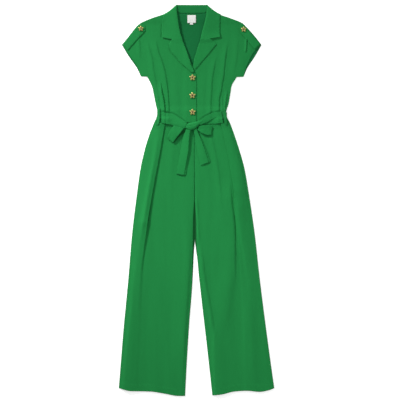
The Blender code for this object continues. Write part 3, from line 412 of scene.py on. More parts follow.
# The cut of what shows of each piece, in metres and square metres
CUTS = make_table(Cut,
    ("back", 0.634, 0.434, 0.1593, "laid"),
    ("front_left", 0.246, 0.454, 0.0753, "laid", ("back", "front_right")),
    ("front_right", 0.244, 0.451, 0.0735, "laid", ("back",)),
    ("collar_strip", 0.097, 0.410, 0.0286, "folded", ("back", "front_left", "front_right")),
    ("lapel_turned_left", 0.062, 0.170, 0.0055, "folded", ("front_left",)),
    ("lapel_turned_right", 0.070, 0.166, 0.0050, "folded", ("front_right",)),
    ("tab_left", 0.033, 0.120, 0.0031, "laid", ("front_left",)),
    ("tab_right", 0.033, 0.118, 0.0031, "laid", ("front_right",)),
    ("back_of_leg_left", 0.260, 1.053, 0.2423, "laid"),
    ("back_of_leg_right", 0.244, 1.054, 0.2251, "laid"),
    ("leg_left", 0.260, 1.053, 0.2546, "folded", ("back_of_leg_left",)),
    ("leg_right", 0.244, 1.053, 0.2323, "folded", ("back_of_leg_right",)),
    ("belt_run", 0.266, 0.040, 0.0106, "laid"),
    ("band_left", 0.045, 0.108, 0.0037, "laid", ("front_left", "leg_left")),
    ("band_right", 0.047, 0.100, 0.0034, "laid", ("front_right", "leg_right")),
    ("knot", 0.035, 0.085, 0.0026, "gathered", ("band_left", "band_right")),
    ("loop_left", 0.041, 0.143, 0.0042, "folded", ("leg_left",)),
    ("loop_right", 0.039, 0.111, 0.0029, "folded", ("leg_right",)),
    ("tail_left", 0.041, 0.180, 0.0065, "laid", ("leg_left",)),
    ("tail_right", 0.042, 0.142, 0.0046, "laid", ("leg_right",)),
    ("carrier_left", 0.0105, 0.067, 0.0006, "laid", ("band_left",)),
    ("carrier_right", 0.0125, 0.071, 0.0007, "laid", ("band_right",)),
    ("label_square", 0.034, 0.031, 0.00102, "laid", ("back",), ("label_tab",)))

BAND_TOP = make_table(Point, (-116, 19), (-78, 13), (-45, -6), (-19.5, -22.5), (24, -15), (47, 1),
    (78, 17), (112, 24))
BAND_PRESS = make_table(Point, (0, -33), (25, -28), (55, -15), (85, -5), (120, 0), (150, 0))

# shade is how far the pleat's inside, painted dark as shade, shows past its lip, and hump the
# height of the ridge
LEG_LEFT = Leg(-1, OUTER_LEFT, INNER_LEFT, BACK_INNER_LEFT, PLEAT_LEFT, HEM_LEFT_CURVE,
               shade=4.6, hump=3.4)
LEG_RIGHT = Leg(1, OUTER_RIGHT, INNER_RIGHT, BACK_INNER_RIGHT, PLEAT_RIGHT, HEM_RIGHT_CURVE,
                shade=1.2, hump=0)


# ---- numbers

def lerp(a, b, t):
    return a + (b - a) * t


def smooth(t):
    t = np.clip(t, 0.0, 1.0)
    return t * t * (3.0 - 2.0 * t)


def ridge(distance, height, place, width):
    return height * np.exp(-((distance - place) / width) ** 2)


def hermite(keys, values, at):
    """A smooth curve through values, which never overshoots them, read at an array."""
    keys = np.asarray(keys, float)
    values = np.asarray(values, float)
    if keys[0] > keys[-1]:
        keys = -keys
        at = -np.asarray(at, float)
    at = np.clip(np.asarray(at, float), keys[0], keys[-1])
    chord = np.diff(values) / np.diff(keys)
    before = chord[:-1]
    after = chord[1:]
    same = before * after > 0
    total = np.where(same, before + after, 1.0)
    inner = np.where(same, 2 * before * after / total, 0.0)
    return cubics(keys, values, np.concatenate([chord[:1], inner, chord[-1:]]), at)


def spline(keys, points, at):
    """Catmull-Rom through points at keys, with slopes from the neighbours on each side."""
    slope = np.zeros_like(points)
    slope[1:-1] = (points[2:] - points[:-2]) / (keys[2:] - keys[:-2])[:, None]
    slope[0] = (points[1] - points[0]) / (keys[1] - keys[0])
    slope[-1] = (points[-1] - points[-2]) / (keys[-1] - keys[-2])
    return np.stack([cubics(keys, points[:, k], slope[:, k], at) for k in (0, 1)], 1)


def cubics(keys, values, slope, at):
    """Cubics with these values and slopes at the keys, read at an array."""
    i = np.clip(np.searchsorted(keys, at, side="right") - 1, 0, len(keys) - 2)
    step = keys[i + 1] - keys[i]
    t = (at - keys[i]) / step
    return (values[i] * (2 * t ** 3 - 3 * t ** 2 + 1) + slope[i] * step * (t ** 3 - 2 * t ** 2 + t)
            + values[i + 1] * (3 * t ** 2 - 2 * t ** 3) + slope[i + 1] * step * (t ** 3 - t ** 2))


def column(table, at, name="u", key="v"):
    """A column of a table, read at values of its key column."""
    return hermite([getattr(row, key) for row in table], [getattr(row, name) for row in table], at)


def lengths(line):
    """How far along a line each of its points lies, seen from above."""
    return np.concatenate([[0], np.cumsum(np.hypot(*np.diff(line[:, :2], axis=0).T))])


def read_line(line, length, at):
    return np.stack([np.interp(at, length, line[:, k]) for k in range(line.shape[1])], -1)


def dense(points):
    """A fine line through points: smooth, but for the sharp ones."""
    ends = [i for i, q in enumerate(points) if q.sharp or i in (0, len(points) - 1)]
    line = []
    for start, end in zip(ends, ends[1:]):
        p = np.array([(q.u, q.v) for q in points[start:end + 1]], float)
        length = lengths(p)
        count = max(2, int(length[-1] / LINE_STEP))
        at = np.linspace(0, length[-1], count + 1)
        fine = read_line(p, length, at) if len(p) == 2 else spline(length, p, at)
        line.append(fine if not line else fine[1:])
    return np.concatenate(line)


def walk(line, t):
    """Points at shares t of a fine line's length."""
    length = lengths(line)
    return read_line(line, length, t * length[-1])


def stations(table, steps, straight=False, rims=False):
    """The table's columns as a fine array, steps rows for each row of it.

    With rims a row more lies close to each end, so that the shading of an edge stays narrow.
    """
    keys = np.arange(len(table), dtype=float)
    last = len(table) - 1
    at = np.linspace(0, last, last * steps + 1)
    if rims:
        at = np.sort(np.append(at, (RIM_SHARE, last - RIM_SHARE)))
    return np.stack([np.interp(at, keys, values) if straight else hermite(keys, values, at)
                     for values in zip(*table)], 1)


# ---- heights of the cloth

def under_rise(v):
    from_belt = np.abs(v - BELT_MIDDLE) - BELT_WIDTH / 2 - BELT_MARGIN
    over_belt = smooth(1 - from_belt / LIFT_FADE)
    over_collar = smooth((v - COLLAR_FALL_LOW + LIFT_FADE) / LIFT_FADE)
    return UNDER_LIFT * (over_belt + over_collar)


def back_height(u, v):
    return WALL / 2 + under_rise(v) + 0 * u


def under_belt(u, v):
    """1 where a belt band presses the front flat."""
    line = column(BAND_PRESS, np.abs(u), "v", "u")
    return smooth((PRESS_REACH - np.abs(v - line)) / PRESS_FADE)


def creases_height(u, v):
    total = np.zeros_like(u * v)
    for crease in CREASES:
        path = np.array(crease.path, float)
        along = (path[0, 0] - v) / (path[0, 0] - path[-1, 0])
        inside = (along >= 0) & (along <= 1)
        if not inside.any():
            continue
        strength = np.ones_like(total)
        if crease.fade_top:
            strength *= smooth(along / crease.fade_top)
        if crease.fade_end:
            strength *= smooth((1 - along) / crease.fade_end)
        d = u - hermite(path[:, 0], path[:, 1], v)
        form = ridge(d, crease.height, 0, np.where(d < 0, crease.left, crease.right))
        form -= ridge(d, crease.groove, crease.right * GROOVE_PLACE, GROOVE_WIDTH)
        total += np.where(inside, strength * form, 0)
    return total * (1 - PRESSED_OUT * under_belt(u, v))


def blouse(u, v):
    """The front dips along a belt band's upper edge and blouses a little above it."""
    above = v - column(BAND_TOP, u, "v", "u")
    form = ridge(above, *BLOUSE) - ridge(above, *BLOUSE_DIP)
    form *= (smooth((BLOUSE_OUTER - np.abs(u)) / OUTER_FADE)
             * smooth((np.abs(u) - BLOUSE_INNER) / INNER_FADE))
    return form * np.where(u < 0, 1, BLOUSE_RIGHT)


def neck_lift(u, v):
    distance = np.abs(u) - np.abs(column(NECK_EDGE, v))
    start = smooth((v - NECK_EDGE[0].v) / LIFT_START)
    end = smooth((LIFT_TOP - v) / LIFT_END)
    return ridge(distance, NECK_LIFT, 0, NECK_LIFT_WIDTH) * start * end


def front_base(u, v):
    clearance = FRONT_CLEARANCE * under_rise(v) / UNDER_LIFT
    return back_height(u, v) + WALL + SEAM_GAP + clearance


def front_height(u, v):
    return front_base(u, v) + EDGE_PUFF + creases_height(u, v) + neck_lift(u, v)


def overlap_rise(u):
    return (WALL + LAY_GAP) * smooth((u - OVERLAP_START) / OVERLAP_RAMP)


def seam_share(distance):
    return 1 - np.exp(-(np.maximum(distance, 0.0) / PUFF_WIDTH) ** PUFF_POWER)


def pleat_radius(turn):
    return PLEAT_RADIUS * (180 / turn) ** PLEAT_SOFTENING


def pleat_path(underlay, turn):
    """The S of a pleat in section, for arrays of rows: steps forward and down from its lip."""
    angle = np.radians(turn)[..., None]
    radius = pleat_radius(turn)[..., None]
    bend = angle * np.arange(PLEAT_ARC_STEPS + 1) / PLEAT_ARC_STEPS
    forward = radius * np.sin(bend)
    down = radius * (np.cos(bend) - 1)
    back = bend[..., ::-1]
    start_f = forward[..., -1:] + underlay[..., None] * np.cos(angle)
    start_d = down[..., -1:] - underlay[..., None] * np.sin(angle)
    return (np.concatenate([forward, start_f + radius * (np.sin(angle) - np.sin(back))], -1),
            np.concatenate([down, start_d + radius * (np.cos(angle) - np.cos(back))], -1))


def pleat_rise(u, v):
    rise = np.zeros_like(u * v)
    for leg in (LEG_LEFT, LEG_RIGHT):
        lip = np.abs(column(leg.pleat, v)) + PLEAT_RADIUS
        edge = np.abs(column(leg.outer, v))
        down = pleat_path(column(leg.pleat, v, "underlay"), column(leg.pleat, v, "turn"))[1]
        near = smooth((np.abs(u) - lip + BRIDGE_START) / BRIDGE_WIDTH)
        height = -down[..., -1] * near * smooth(PANEL_RISE * (edge - np.abs(u)) / (edge - lip))
        rise += np.where(u * leg.side > 0, height, 0)
    return rise


def over_height(u, v, lift):
    """Middle of a piece that lies on the front, lifted off it by lift."""
    overlap = np.where(v > WAIST_SEAM, overlap_rise(u), 0.0)
    overlap = overlap * smooth((column(OVERLAP_EDGE, v) + OVERLAP_FALL - u) / OVERLAP_FALL)
    pleated = pleat_rise(u, v) * smooth((WAIST_SEAM + BRIDGE_TOP - v) / BRIDGE_FADE)
    return front_height(u, v) + overlap + pleated + WALL + LAY_GAP + lift


# ---- materials

def nodes_of(name):
    made = bpy.data.materials.new(name)
    made.use_nodes = True
    tree = made.node_tree
    return made, tree, tree.nodes["Principled BSDF"]


def add(tree, kind, **settings):
    node = tree.nodes.new(kind)
    for key, value in settings.items():
        if key in node.inputs:
            node.inputs[key].default_value = value
        else:
            setattr(node, key, value)
    return node


def set_inputs(node, settings):
    for key, value in settings.items():
        node.inputs[key].default_value = value


def texture(tree, kind, stretch=None, **settings):
    """The value of a texture over the object's own coordinates."""
    node = add(tree, kind, **settings)
    place = add(tree, "ShaderNodeTexCoord").outputs["Object"]
    if stretch:
        mapping = add(tree, "ShaderNodeMapping", Scale=stretch)
        tree.links.new(place, mapping.inputs["Vector"])
        place = mapping.outputs["Vector"]
    tree.links.new(place, node.inputs["Vector"])
    return node.outputs["Fac"]


def scaled(tree, value, factor, rest):
    """A value times a factor, plus the rest, which is a number or another value."""
    node = add(tree, "ShaderNodeMath", operation="MULTIPLY_ADD")
    tree.links.new(value, node.inputs[0])
    node.inputs[1].default_value = factor
    if isinstance(rest, float):
        node.inputs[2].default_value = rest
    else:
        tree.links.new(rest, node.inputs[2])
    return node.outputs[0]


def colour_by(tree, shader, value, dark, light, start=0.0, end=1.0):
    """The shader's colour: dark where the value is up to start, light from end on."""
    ramp = add(tree, "ShaderNodeValToRGB")
    for stop, place, tone in zip(ramp.color_ramp.elements, (start, end), (dark, light)):
        stop.position = place
        stop.color = (*tone, 1)
    tree.links.new(value, ramp.inputs["Fac"])
    tree.links.new(ramp.outputs["Color"], shader.inputs["Base Color"])


def rough_by(tree, shader, value, low, high):
    span = add(tree, "ShaderNodeMapRange", **{"To Min": low, "To Max": high})
    tree.links.new(value, span.inputs["Value"])
    tree.links.new(span.outputs["Result"], shader.inputs["Roughness"])


def bump_by(tree, shader, value, strength, distance):
    bump = add(tree, "ShaderNodeBump", Strength=strength, Distance=distance)
    tree.links.new(value, bump.inputs["Height"])
    tree.links.new(bump.outputs["Normal"], shader.inputs["Normal"])


def crepe(name, dark, light, grain):
    """Plain-woven crepe: fine pebbly grain over crossed threads, in one green."""
    made, tree, shader = nodes_of(name)
    pebble = texture(tree, NOISE, Scale=900.0, Detail=3.0, Roughness=0.6)
    streak = texture(tree, NOISE, stretch=(44, 5, 44), Scale=1.0, Detail=3.0, Roughness=0.5)
    slub = texture(tree, NOISE, stretch=(420, 60, 420), Scale=1.0, Detail=2.0, Roughness=0.6)
    warp, weft = (texture(tree, WAVE, bands_direction=way, Scale=640.0, Distortion=1.2)
                  for way in "XY")
    tone = scaled(tree, streak, factor=0.45, rest=scaled(tree, slub, factor=0.4, rest=0.07))
    colour_by(tree, shader, tone, dark, light, start=0.25, end=0.75)
    threads = scaled(tree, warp, factor=1.0, rest=weft)
    relief = scaled(tree, threads, factor=0.35, rest=pebble)
    bump_by(tree, shader, relief, strength=0.35 * grain, distance=0.00025)
    rough_by(tree, shader, pebble, low=0.72, high=0.9)
    set_inputs(shader, {"Specular IOR Level": 0.1})
    return made


# The green crepe times a factor: the cloth as cut, the lighter thread, and darker copies with
# painted shade
def dye_and_painted_shade(name, tone, grain=1.0):
    dark = [c * t for c, t in zip(DARK_GREEN, tone)]
    light = [c * t for c, t in zip(LIGHT_GREEN, tone)]
    return crepe(name, dark, light, grain)


def brass_material():
    made, tree, shader = nodes_of("brushed_brass")
    noise = texture(tree, NOISE, Scale=700.0, Detail=3.0)
    colour_by(tree, shader, noise, (0.37, 0.31, 0.09), (0.57, 0.56, 0.21), start=0.3, end=0.7)
    rough_by(tree, shader, noise, low=0.34, high=0.52)
    bump_by(tree, shader, noise, strength=0.2, distance=0.0002)
    set_inputs(shader, {"Metallic": 1.0})
    return made


def enamel_material():
    made, tree, shader = nodes_of("brown_enamel")
    noise = texture(tree, NOISE, Scale=500.0, Detail=2.0)
    colour_by(tree, shader, noise, (0.07, 0.025, 0.008), (0.16, 0.06, 0.02))
    set_inputs(shader, {"Roughness": 0.3})
    return made


def tape_material():
    made, tree, shader = nodes_of("white_tape")
    ribs = texture(tree, WAVE, bands_direction="Y", Scale=500.0, Distortion=0.6)
    colour_by(tree, shader, ribs, (0.74, 0.76, 0.72), (0.83, 0.85, 0.81))
    bump_by(tree, shader, ribs, strength=0.4, distance=0.0002)
    set_inputs(shader, {"Roughness": 0.75})
    return made


cloth = dye_and_painted_shade("green_crepe", AS_CUT)
# darker copies of the crepe that paint shade onto the collar stand, the wrong side and what lies
# deep in folds
stand_painted_shade = dye_and_painted_shade("green_crepe_stand_painted_shade", STAND_PAINTED_SHADE)
wrong_side_painted_shade = dye_and_painted_shade("green_crepe_wrong_side_painted_shade", WRONG_SIDE_PAINTED_SHADE)
fold_painted_shade = dye_and_painted_shade("green_crepe_fold_painted_shade", FOLD_PAINTED_SHADE)
thread = dye_and_painted_shade("green_thread", THREAD_TONE, grain=0.4)
brass = brass_material()
enamel = enamel_material()
tape = tape_material()
sewn_on = {}  # piece name to the stitches on it


# ---- making pieces

def to_frame(points):
    """Garment millimetres to the row frame's metres."""
    moved = np.array(points, float).reshape(-1, 3)
    moved[:, 0] -= MIDDLE_U
    moved[:, 1] -= MIDDLE_V
    return moved * MM


def new_object(name, data):
    made = bpy.data.objects.new(name, data)
    bpy.context.scene.collection.objects.link(made)
    return made


def add_mesh(name, points, faces, finishes, stands_for, face_finish=None):
    mesh = bpy.data.meshes.new(name)
    mesh.from_pydata(to_frame(points).tolist(), [], faces)
    for finish in finishes:
        mesh.materials.append(finish)
    if face_finish is not None:
        mesh.polygons.foreach_set("material_index", face_finish)
    mesh.shade_smooth()
    mesh.update()
    made = new_object(name, mesh)
    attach(made, "root")
    if stands_for:
        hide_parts(stands_for)
    return made


def shell(name, grid, node, finish=None, wall=SHELL, inside=None):
    """A thin shell round a grid of middle points, an array of rows, columns and u, v, h.

    inside is a darker material that paints shade, a mask of the grid's cells that have it, and
    whether it is on both faces.
    """
    high, wide = grid.shape[:2]
    index = np.arange(high * wide).reshape(high, wide)
    quads = np.stack([index[:-1, :-1], index[1:, :-1], index[1:, 1:], index[:-1, 1:]], -1)
    across = (grid[:, -1, :2] - grid[:, 0, :2]).mean(0)
    down = (grid[-1, :, :2] - grid[0, :, :2]).mean(0)
    if across[0] * down[1] - across[1] * down[0] > 0:
        quads = quads[..., ::-1]
    finishes = [finish or cloth]
    chosen = None
    if inside is not None:
        finishes.append(inside[0])
        chosen = np.broadcast_to(inside[1], quads.shape[:2]).astype(int).ravel().tolist()
    made = add_mesh(name, grid.reshape(-1, 3), quads.reshape(-1, 4).tolist(), finishes, node,
                    chosen)
    thick = made.modifiers.new("wall", "SOLIDIFY")
    thick.thickness = wall * MM
    thick.offset = 0.0
    thick.use_even_offset = True
    if inside is not None and not inside[2]:
        thick.material_offset = -1
        thick.material_offset_rim = -1
    return made


def inset(grid, reach, far=False):
    """For each row of a grid, the point this far in from its first end, or from its last."""
    if far:
        grid = grid[:, ::-1]
    steps = np.linalg.norm(np.diff(grid[..., :2], axis=1), axis=2)
    length = np.concatenate([np.zeros((len(grid), 1)), np.cumsum(steps, axis=1)], 1)
    return np.array([[np.interp(reach, at, row[:, k]) for k in range(3)]
                     for at, row in zip(length, grid)])


def stitches(piece, lines):
    """Short raised threads along lines of u, v, h that follow the cloth's middle."""
    corners = []
    for line in lines:
        length = lengths(line)
        starts = np.arange(0, length[-1] - STITCH, STITCH_PITCH)
        a, b = (read_line(line, length, starts + d) for d in (0, STITCH))
        way = (b - a) / STITCH
        side = np.stack([-way[:, 1], way[:, 0], 0 * way[:, 0]], 1) * THREAD / 2
        for share, wide, level in STITCH_RINGS:
            ends = lerp(a, b, share), lerp(b, a, share)
            ring = [ends[0] - side * wide, ends[1] - side * wide, ends[1] + side * wide,
                    ends[0] + side * wide]
            corners.append(np.stack(ring, 1) + (0, 0, level))
    low = np.concatenate(corners[0::2])
    high = np.concatenate(corners[1::2])
    faces = [tuple(8 * i + k for k in face) for i in range(len(low)) for face in STITCH_FACES]
    made = add_mesh(piece.name + "_stitches", np.concatenate([low, high], 1).reshape(-1, 3), faces,
                    [thread], None)
    sewn_on.setdefault(piece.name, []).append(made)


def coons(top, low, left, right, wide, high):
    """A grid of flat points spanned between four fine lines."""
    s = np.linspace(0, 1, wide + 1)
    t = np.linspace(0, 1, high + 1)
    a = walk(top, s)[None, :, :]
    b = walk(low, s)[None, :, :]
    c = walk(left, t)[:, None, :]
    d = walk(right, t)[:, None, :]
    ss = s[None, :, None]
    tt = t[:, None, None]
    corner = lerp(lerp(a[:, :1], a[:, -1:], ss), lerp(b[:, :1], b[:, -1:], ss), tt)
    return lerp(a, b, tt) + lerp(c, d, ss) - corner


def back_bodice():
    top = dense(SHOULDER_LEFT[:-1] + BACK_NECK + SHOULDER_RIGHT[-2::-1])
    low = dense((SIDE_LEFT[-1], SIDE_RIGHT[-1]))
    grid = coons(top, low, dense(SIDE_LEFT), dense(SIDE_RIGHT), *BACK_CELLS)
    u, v = grid[..., 0], grid[..., 1]
    # The back's upper face is the wrong side, darkened with painted shade where it shows in the
    # neck and at the sleeves.
    shell("back", np.stack([u, v, back_height(u, v)], -1), "back_bodice",
          inside=(wrong_side_painted_shade, True, False))


def front_bodice(name, shoulder, side, neck, node, over=False):
    """A front from its side to its edge; over is for the one that overlaps the other."""
    low = dense((side[-1], neck[-1]))
    grid = coons(dense(shoulder), low, dense(side), dense(neck), *FRONT_CELLS)
    u, v = grid[..., 0], grid[..., 1]
    reach = np.hypot(u - u[:, :1], v - v[:, :1])
    rise = EDGE_PUFF + creases_height(u, v) + neck_lift(u, v) + blouse(u, v)
    height = front_base(u, v) + seam_share(reach) * rise
    if over:
        height = height + overlap_rise(u)
    grid = np.stack([u, v, height], -1)
    made = shell(name, grid, node)
    hem = inset(grid, SLEEVE_STITCH)
    low_end = side[SLEEVE_ROW].v + SLEEVE_STITCH
    top_end = side[0].v - SLEEVE_STITCH
    lines = [hem[(hem[:, 1] > low_end) & (hem[:, 1] < top_end)]]
    if over:
        placket = inset(grid, PLACKET_STITCH, far=True)
        lines.append(placket[placket[:, 1] < OVERLAP_EDGE[1].v])
    stitches(made, lines)


def lapel(name, table, gorge, node, raised):
    """A turned facing: its upper end meets the collar's lower edge, the gorge, flush."""
    rows = stations(table, LAPEL_STEPS, straight=True, rims=True)
    outer_u, outer_v, roll_u, roll_v = (rows[:, k:k + 1] for k in range(4))
    span = np.hypot(roll_u - outer_u, roll_v - outer_v)
    s = np.linspace(0, 1, LAPEL_POINTS)[None, :]
    u = lerp(outer_u, roll_u, s)
    v = lerp(outer_v, roll_v, s)
    from_roll = (1 - s) * span
    from_edge = s * span
    puff = LAPEL_PUFF * smooth(from_edge / LAPEL_PUFF_WIDTH)
    puff = puff * smooth((from_roll + LAPEL_ROLL_START) / LAPEL_PUFF_WIDTH)
    lift = raised * (1 + puff - LAPEL_ROLL_DIP * np.exp(-from_roll / LAPEL_ROLL_WIDTH))
    lift *= smooth(span / LAPEL_FULL_WIDTH)
    line = gorge[np.argsort(gorge[:, 0])]
    below = np.interp(u, line[:, 0], line[:, 1]) - v
    flush = np.interp(u, line[:, 0], line[:, 2])
    height = lerp(flush, over_height(u, v, lift), smooth(below / GORGE_BLEND))
    grid = np.stack([u, v, height], -1)
    edge = inset(grid, EDGE_STITCH)
    stitches(shell(name, grid, node), [edge[LAPEL_BARE_ROWS:-LAPEL_BARE_ROWS]])


def collar_grid():
    """Rows round the neck from the left notch, from the fall's edge over the roll to the seam."""
    rows = stations(COLLAR_LEFT + (COLLAR_MIDDLE,) + COLLAR_RIGHT, COLLAR_STEPS, rims=True)
    outer, roll, seam = (rows[:, k:k + 3] for k in (0, 3, 6))
    turn = rows[:, 9:]
    bend = ROLL_RADIUS * turn * (0, 0, 1)

    def unit(a):
        return a / np.linalg.norm(a, axis=1, keepdims=True)

    fall_near = roll + unit(outer - roll) * ROLL_REACH + bend
    stand_near = roll + unit(seam - roll) * ROLL_REACH - bend
    lying = turn[:, 0] > COLLAR_LYING
    sag = COLLAR_SAG * np.clip(SAG_TURN - turn[:, 0] ** 2, 0, 1)
    fall = []
    for s in np.linspace(0, 1, FALL_POINTS):
        point = lerp(outer, fall_near, s)
        point[:, 1] -= sag * 4 * s * (1 - s) * (np.abs(point[:, 0]) > SAG_OUTSIDE)
        low = over_height(point[:, 0], point[:, 1], COLLAR_REST)
        point[:, 2] = np.where(lying, np.maximum(point[:, 2], low), point[:, 2])
        fall.append(point)
    to_roll = [lerp(lerp(fall_near, roll, t), roll, t) for t in ARC]
    from_roll = [lerp(roll, lerp(roll, stand_near, t), t) for t in ARC]
    stand = [lerp(stand_near, seam, s) for s in np.linspace(STAND_START, 1, STAND_POINTS)]
    grid = np.stack(fall + to_roll + from_roll + stand, 1)
    grid[..., 2] = np.maximum(grid[..., 2], SHELL / 2)
    return grid


def collar(grid):
    stand = np.arange(grid.shape[1] - 1) >= FALL_POINTS + len(ARC)
    # The stand's faces get painted shade.
    made = shell("collar_strip", grid, "collar", inside=(stand_painted_shade, stand[None, :], True))
    edge = inset(grid, EDGE_STITCH)
    stitches(made, [edge[COLLAR_BARE_ROWS:COLLAR_FRONT_ROWS],
                    edge[-COLLAR_FRONT_ROWS:-COLLAR_BARE_ROWS]])


def strip(name, table, node, crown=0.8, wide=20, ripple=None, painted_shade_from=None, sewn=False):
    """A strip on the front between the two edges of a table.

    From the row of the table painted_shade_from on, the wrong side is up, painted dark as shade.
    """
    rows = stations(table, STRIP_STEPS)
    s = np.linspace(0, 1, wide + 1)[None, :]
    t = np.linspace(0, 1, len(rows))[:, None]
    u, v, lift = (lerp(rows[:, k:k + 1], rows[:, k + 3:k + 4], s) for k in range(3))
    lift = lift + crown * 4 * s * (1 - s)
    if ripple is not None:
        lift = lift + ripple(s, t)
    inside = None
    if painted_shade_from is not None:
        # From that row on, the loop's strand is painted dark as shade.
        turned_up_painted_shade = np.arange(len(rows) - 1)[:, None] >= painted_shade_from * STRIP_STEPS
        inside = (fold_painted_shade, turned_up_painted_shade, True)
    grid = np.stack([u, v, over_height(u, v, np.maximum(lift, 0.0))], -1)
    made = shell(name, grid, node, inside=inside)
    if sewn:
        stitches(made, [inset(grid, TAB_STITCH, far)[TAB_BARE_ROWS:-TAB_BARE_ROWS]
                        for far in (False, True)])


def curled(s, t):
    """A tail's right edge turns down to the cloth under it."""
    return -CURL_DROP * smooth((s - CURL_START) / CURL_WIDTH) * smooth(t / CURL_FADE)


def split_band(s, t):
    """The band parts towards the knot: its lower strand lies deeper than its upper one."""
    line = np.interp(t, *SPLIT_LINE)
    started = smooth((t - SPLIT_START) / SPLIT_RAMP)
    step = smooth((s - line + SPLIT_EDGE) / SPLIT_WIDTH)
    return -started * (SPLIT_DROP * step + ridge(s - line, *SPLIT_GROOVE))


def leg_grid(outer, inner, count):
    """For each row of a leg: its share of the length, its level, and its outer and inner u."""
    t = np.linspace(0, 1, count + 1)
    at = lerp(WAIST_SEAM, outer[-1].v, t)
    return t[:, None], at, column(outer, at)[:, None], column(inner, at)[:, None]


def leg_level(u, t, hem):
    return lerp(WAIST_SEAM - SEAM_GAP, column(hem, u, "v", "u"), t)


def back_leg(name, leg, node):
    t, _, outer_u, inner_u = leg_grid(leg.outer, leg.back_inner, BACK_LEG_ROWS)
    u = lerp(outer_u, inner_u, np.linspace(0, 1, BACK_LEG_POINTS)[None, :])
    v = leg_level(u, t, leg.hem)
    # The back legs' upper faces, the wrong side, get painted shade where they show between the
    # legs.
    shell(name, np.stack([u, v, back_height(u, v)], -1), node, inside=(fold_painted_shade, True, False))


def front_leg(name, leg, node):
    """From the outer edge a panel, the pleat's S under its lip, and the cloth inside of it."""
    t, at, outer_u, inner_u = leg_grid(leg.outer, leg.inner, FRONT_LEG_ROWS)
    lip_u, underlay, turn, lifted = (column(leg.pleat, at, name)
                                     for name in ("u", "underlay", "turn", "lift"))
    forward, down = pleat_path(underlay, turn)
    lifted = lifted[:, None]
    total = -down[:, -1:]
    start_u = (lip_u + leg.side * PLEAT_RADIUS)[:, None]
    s = np.linspace(0, 1, PANEL_POINTS)[None, :-1]
    panel_u = lerp(outer_u, start_u, s)
    panel_up = (total * smooth(s * PANEL_RISE)
                + lifted * smooth((s - PANEL_LIFT_START) / (1 - PANEL_LIFT_START)))
    hump = leg.hump * smooth(lifted / HUMP_LIFT) * smooth(turn[:, None] / HUMP_TURN)
    panel_up += ridge(np.abs(start_u - panel_u), hump, HUMP_BACK, HUMP_WIDTH)
    pleat_u = start_u - leg.side * forward
    pleat_up = total + down + lifted * (1 + down / total)
    end_u = pleat_u[:, -1:]
    beyond = leg.side * (end_u - start_u) > 0
    mouth = np.where(beyond, start_u, end_u) - leg.side * (PLEAT_RADIUS + leg.shade)
    under_u = lerp(end_u, mouth, np.linspace(0, 1, UNDER_POINTS + 1)[None, 1:])
    rest_u = lerp(mouth, inner_u, np.linspace(0, 1, INNER_POINTS)[None, 1:])
    flat_u = np.concatenate([under_u, rest_u], 1)
    u = np.concatenate([panel_u, pleat_u, flat_u], 1)
    raised = np.concatenate([panel_up, pleat_up, np.zeros_like(flat_u)], 1)
    v = leg_level(u, t, leg.hem)
    reach = np.minimum(np.abs(u - outer_u), np.abs(u - inner_u))
    above_hem = v - leg_level(u, 1.0, leg.hem)
    rise = seam_share(reach) * (EDGE_PUFF + creases_height(u, v))
    rise += HEM_RISE * smooth((HEM_DEEP - above_hem) / HEM_STEP)
    columns = np.arange(u.shape[1] - 1)
    first = panel_u.shape[1] + PLEAT_ARC_STEPS
    deep = (columns >= first) & (columns < first + PLEAT_ARC_STEPS + UNDER_POINTS)
    # Cells deep in the pleat's S, where it turns far, get painted shade.
    folded = turn > DEEP_TURN
    grid = np.stack([u, v, front_base(u, v) + rise + raised], -1)
    made = shell(name, grid, node, inside=(fold_painted_shade, folded[:-1, None] & deep[None, :], True))
    stitches(made, [inset(grid.transpose(1, 0, 2), HEM_DEEP - HEM_STEP, far=True)])


def belt_back():
    along, across = BELT_POINTS
    half = BELT_WIDTH / 2
    u, v = np.meshgrid(np.linspace(-BELT_SIDE, BELT_SIDE, along),
                       np.linspace(BELT_MIDDLE + half, BELT_MIDDLE - half, across))
    shell("belt_run", np.stack([u, v, np.full_like(u, WALL / 2)], -1), "belt_back")


def knot():
    """The wrap over the middle, from the right band's upper strand down to the left."""
    rows = stations(KNOT, KNOT_STEPS)
    upper = rows[:, None, 0:2]
    lower = rows[:, None, 2:4]
    top = rows[:, None, 4]
    turn = np.linspace(0, 2 * pi, KNOT_AROUND, endpoint=False)[None, :]
    share = (1 - np.cos(turn)) / 2
    flat = lerp(upper, lower, share[..., None])
    round_up = np.abs(np.sin(turn)) ** KNOT_ROUND * np.sign(np.sin(turn))
    middle = (top + KNOT_LOW) / 2
    high = middle + round_up * (top - KNOT_LOW) / 2
    along = np.linspace(0, 1, len(rows))[:, None]
    fold = ridge(share - KNOT_FOLD_PLACE, KNOT_FOLD, KNOT_FOLD_SLANT * along, KNOT_FOLD_WIDTH)
    fold = fold * (round_up > 0) * smooth((KNOT_FOLD_END - along) / KNOT_FOLD_OUT)
    high -= fold * smooth(along / KNOT_FOLD_IN)
    points = np.concatenate([flat, high[..., None]], -1).reshape(-1, 3)
    faces = []
    for a in range(0, (len(rows) - 1) * KNOT_AROUND, KNOT_AROUND):
        b = a + KNOT_AROUND
        for k in range(KNOT_AROUND):
            after = (k + 1) % KNOT_AROUND
            faces.append((a + k, a + after, b + after, b + k))
    faces.append(tuple(range(KNOT_AROUND))[::-1])
    faces.append(tuple(range(len(points) - KNOT_AROUND, len(points))))
    add_mesh("knot", points, faces, [cloth], "belt_knot")


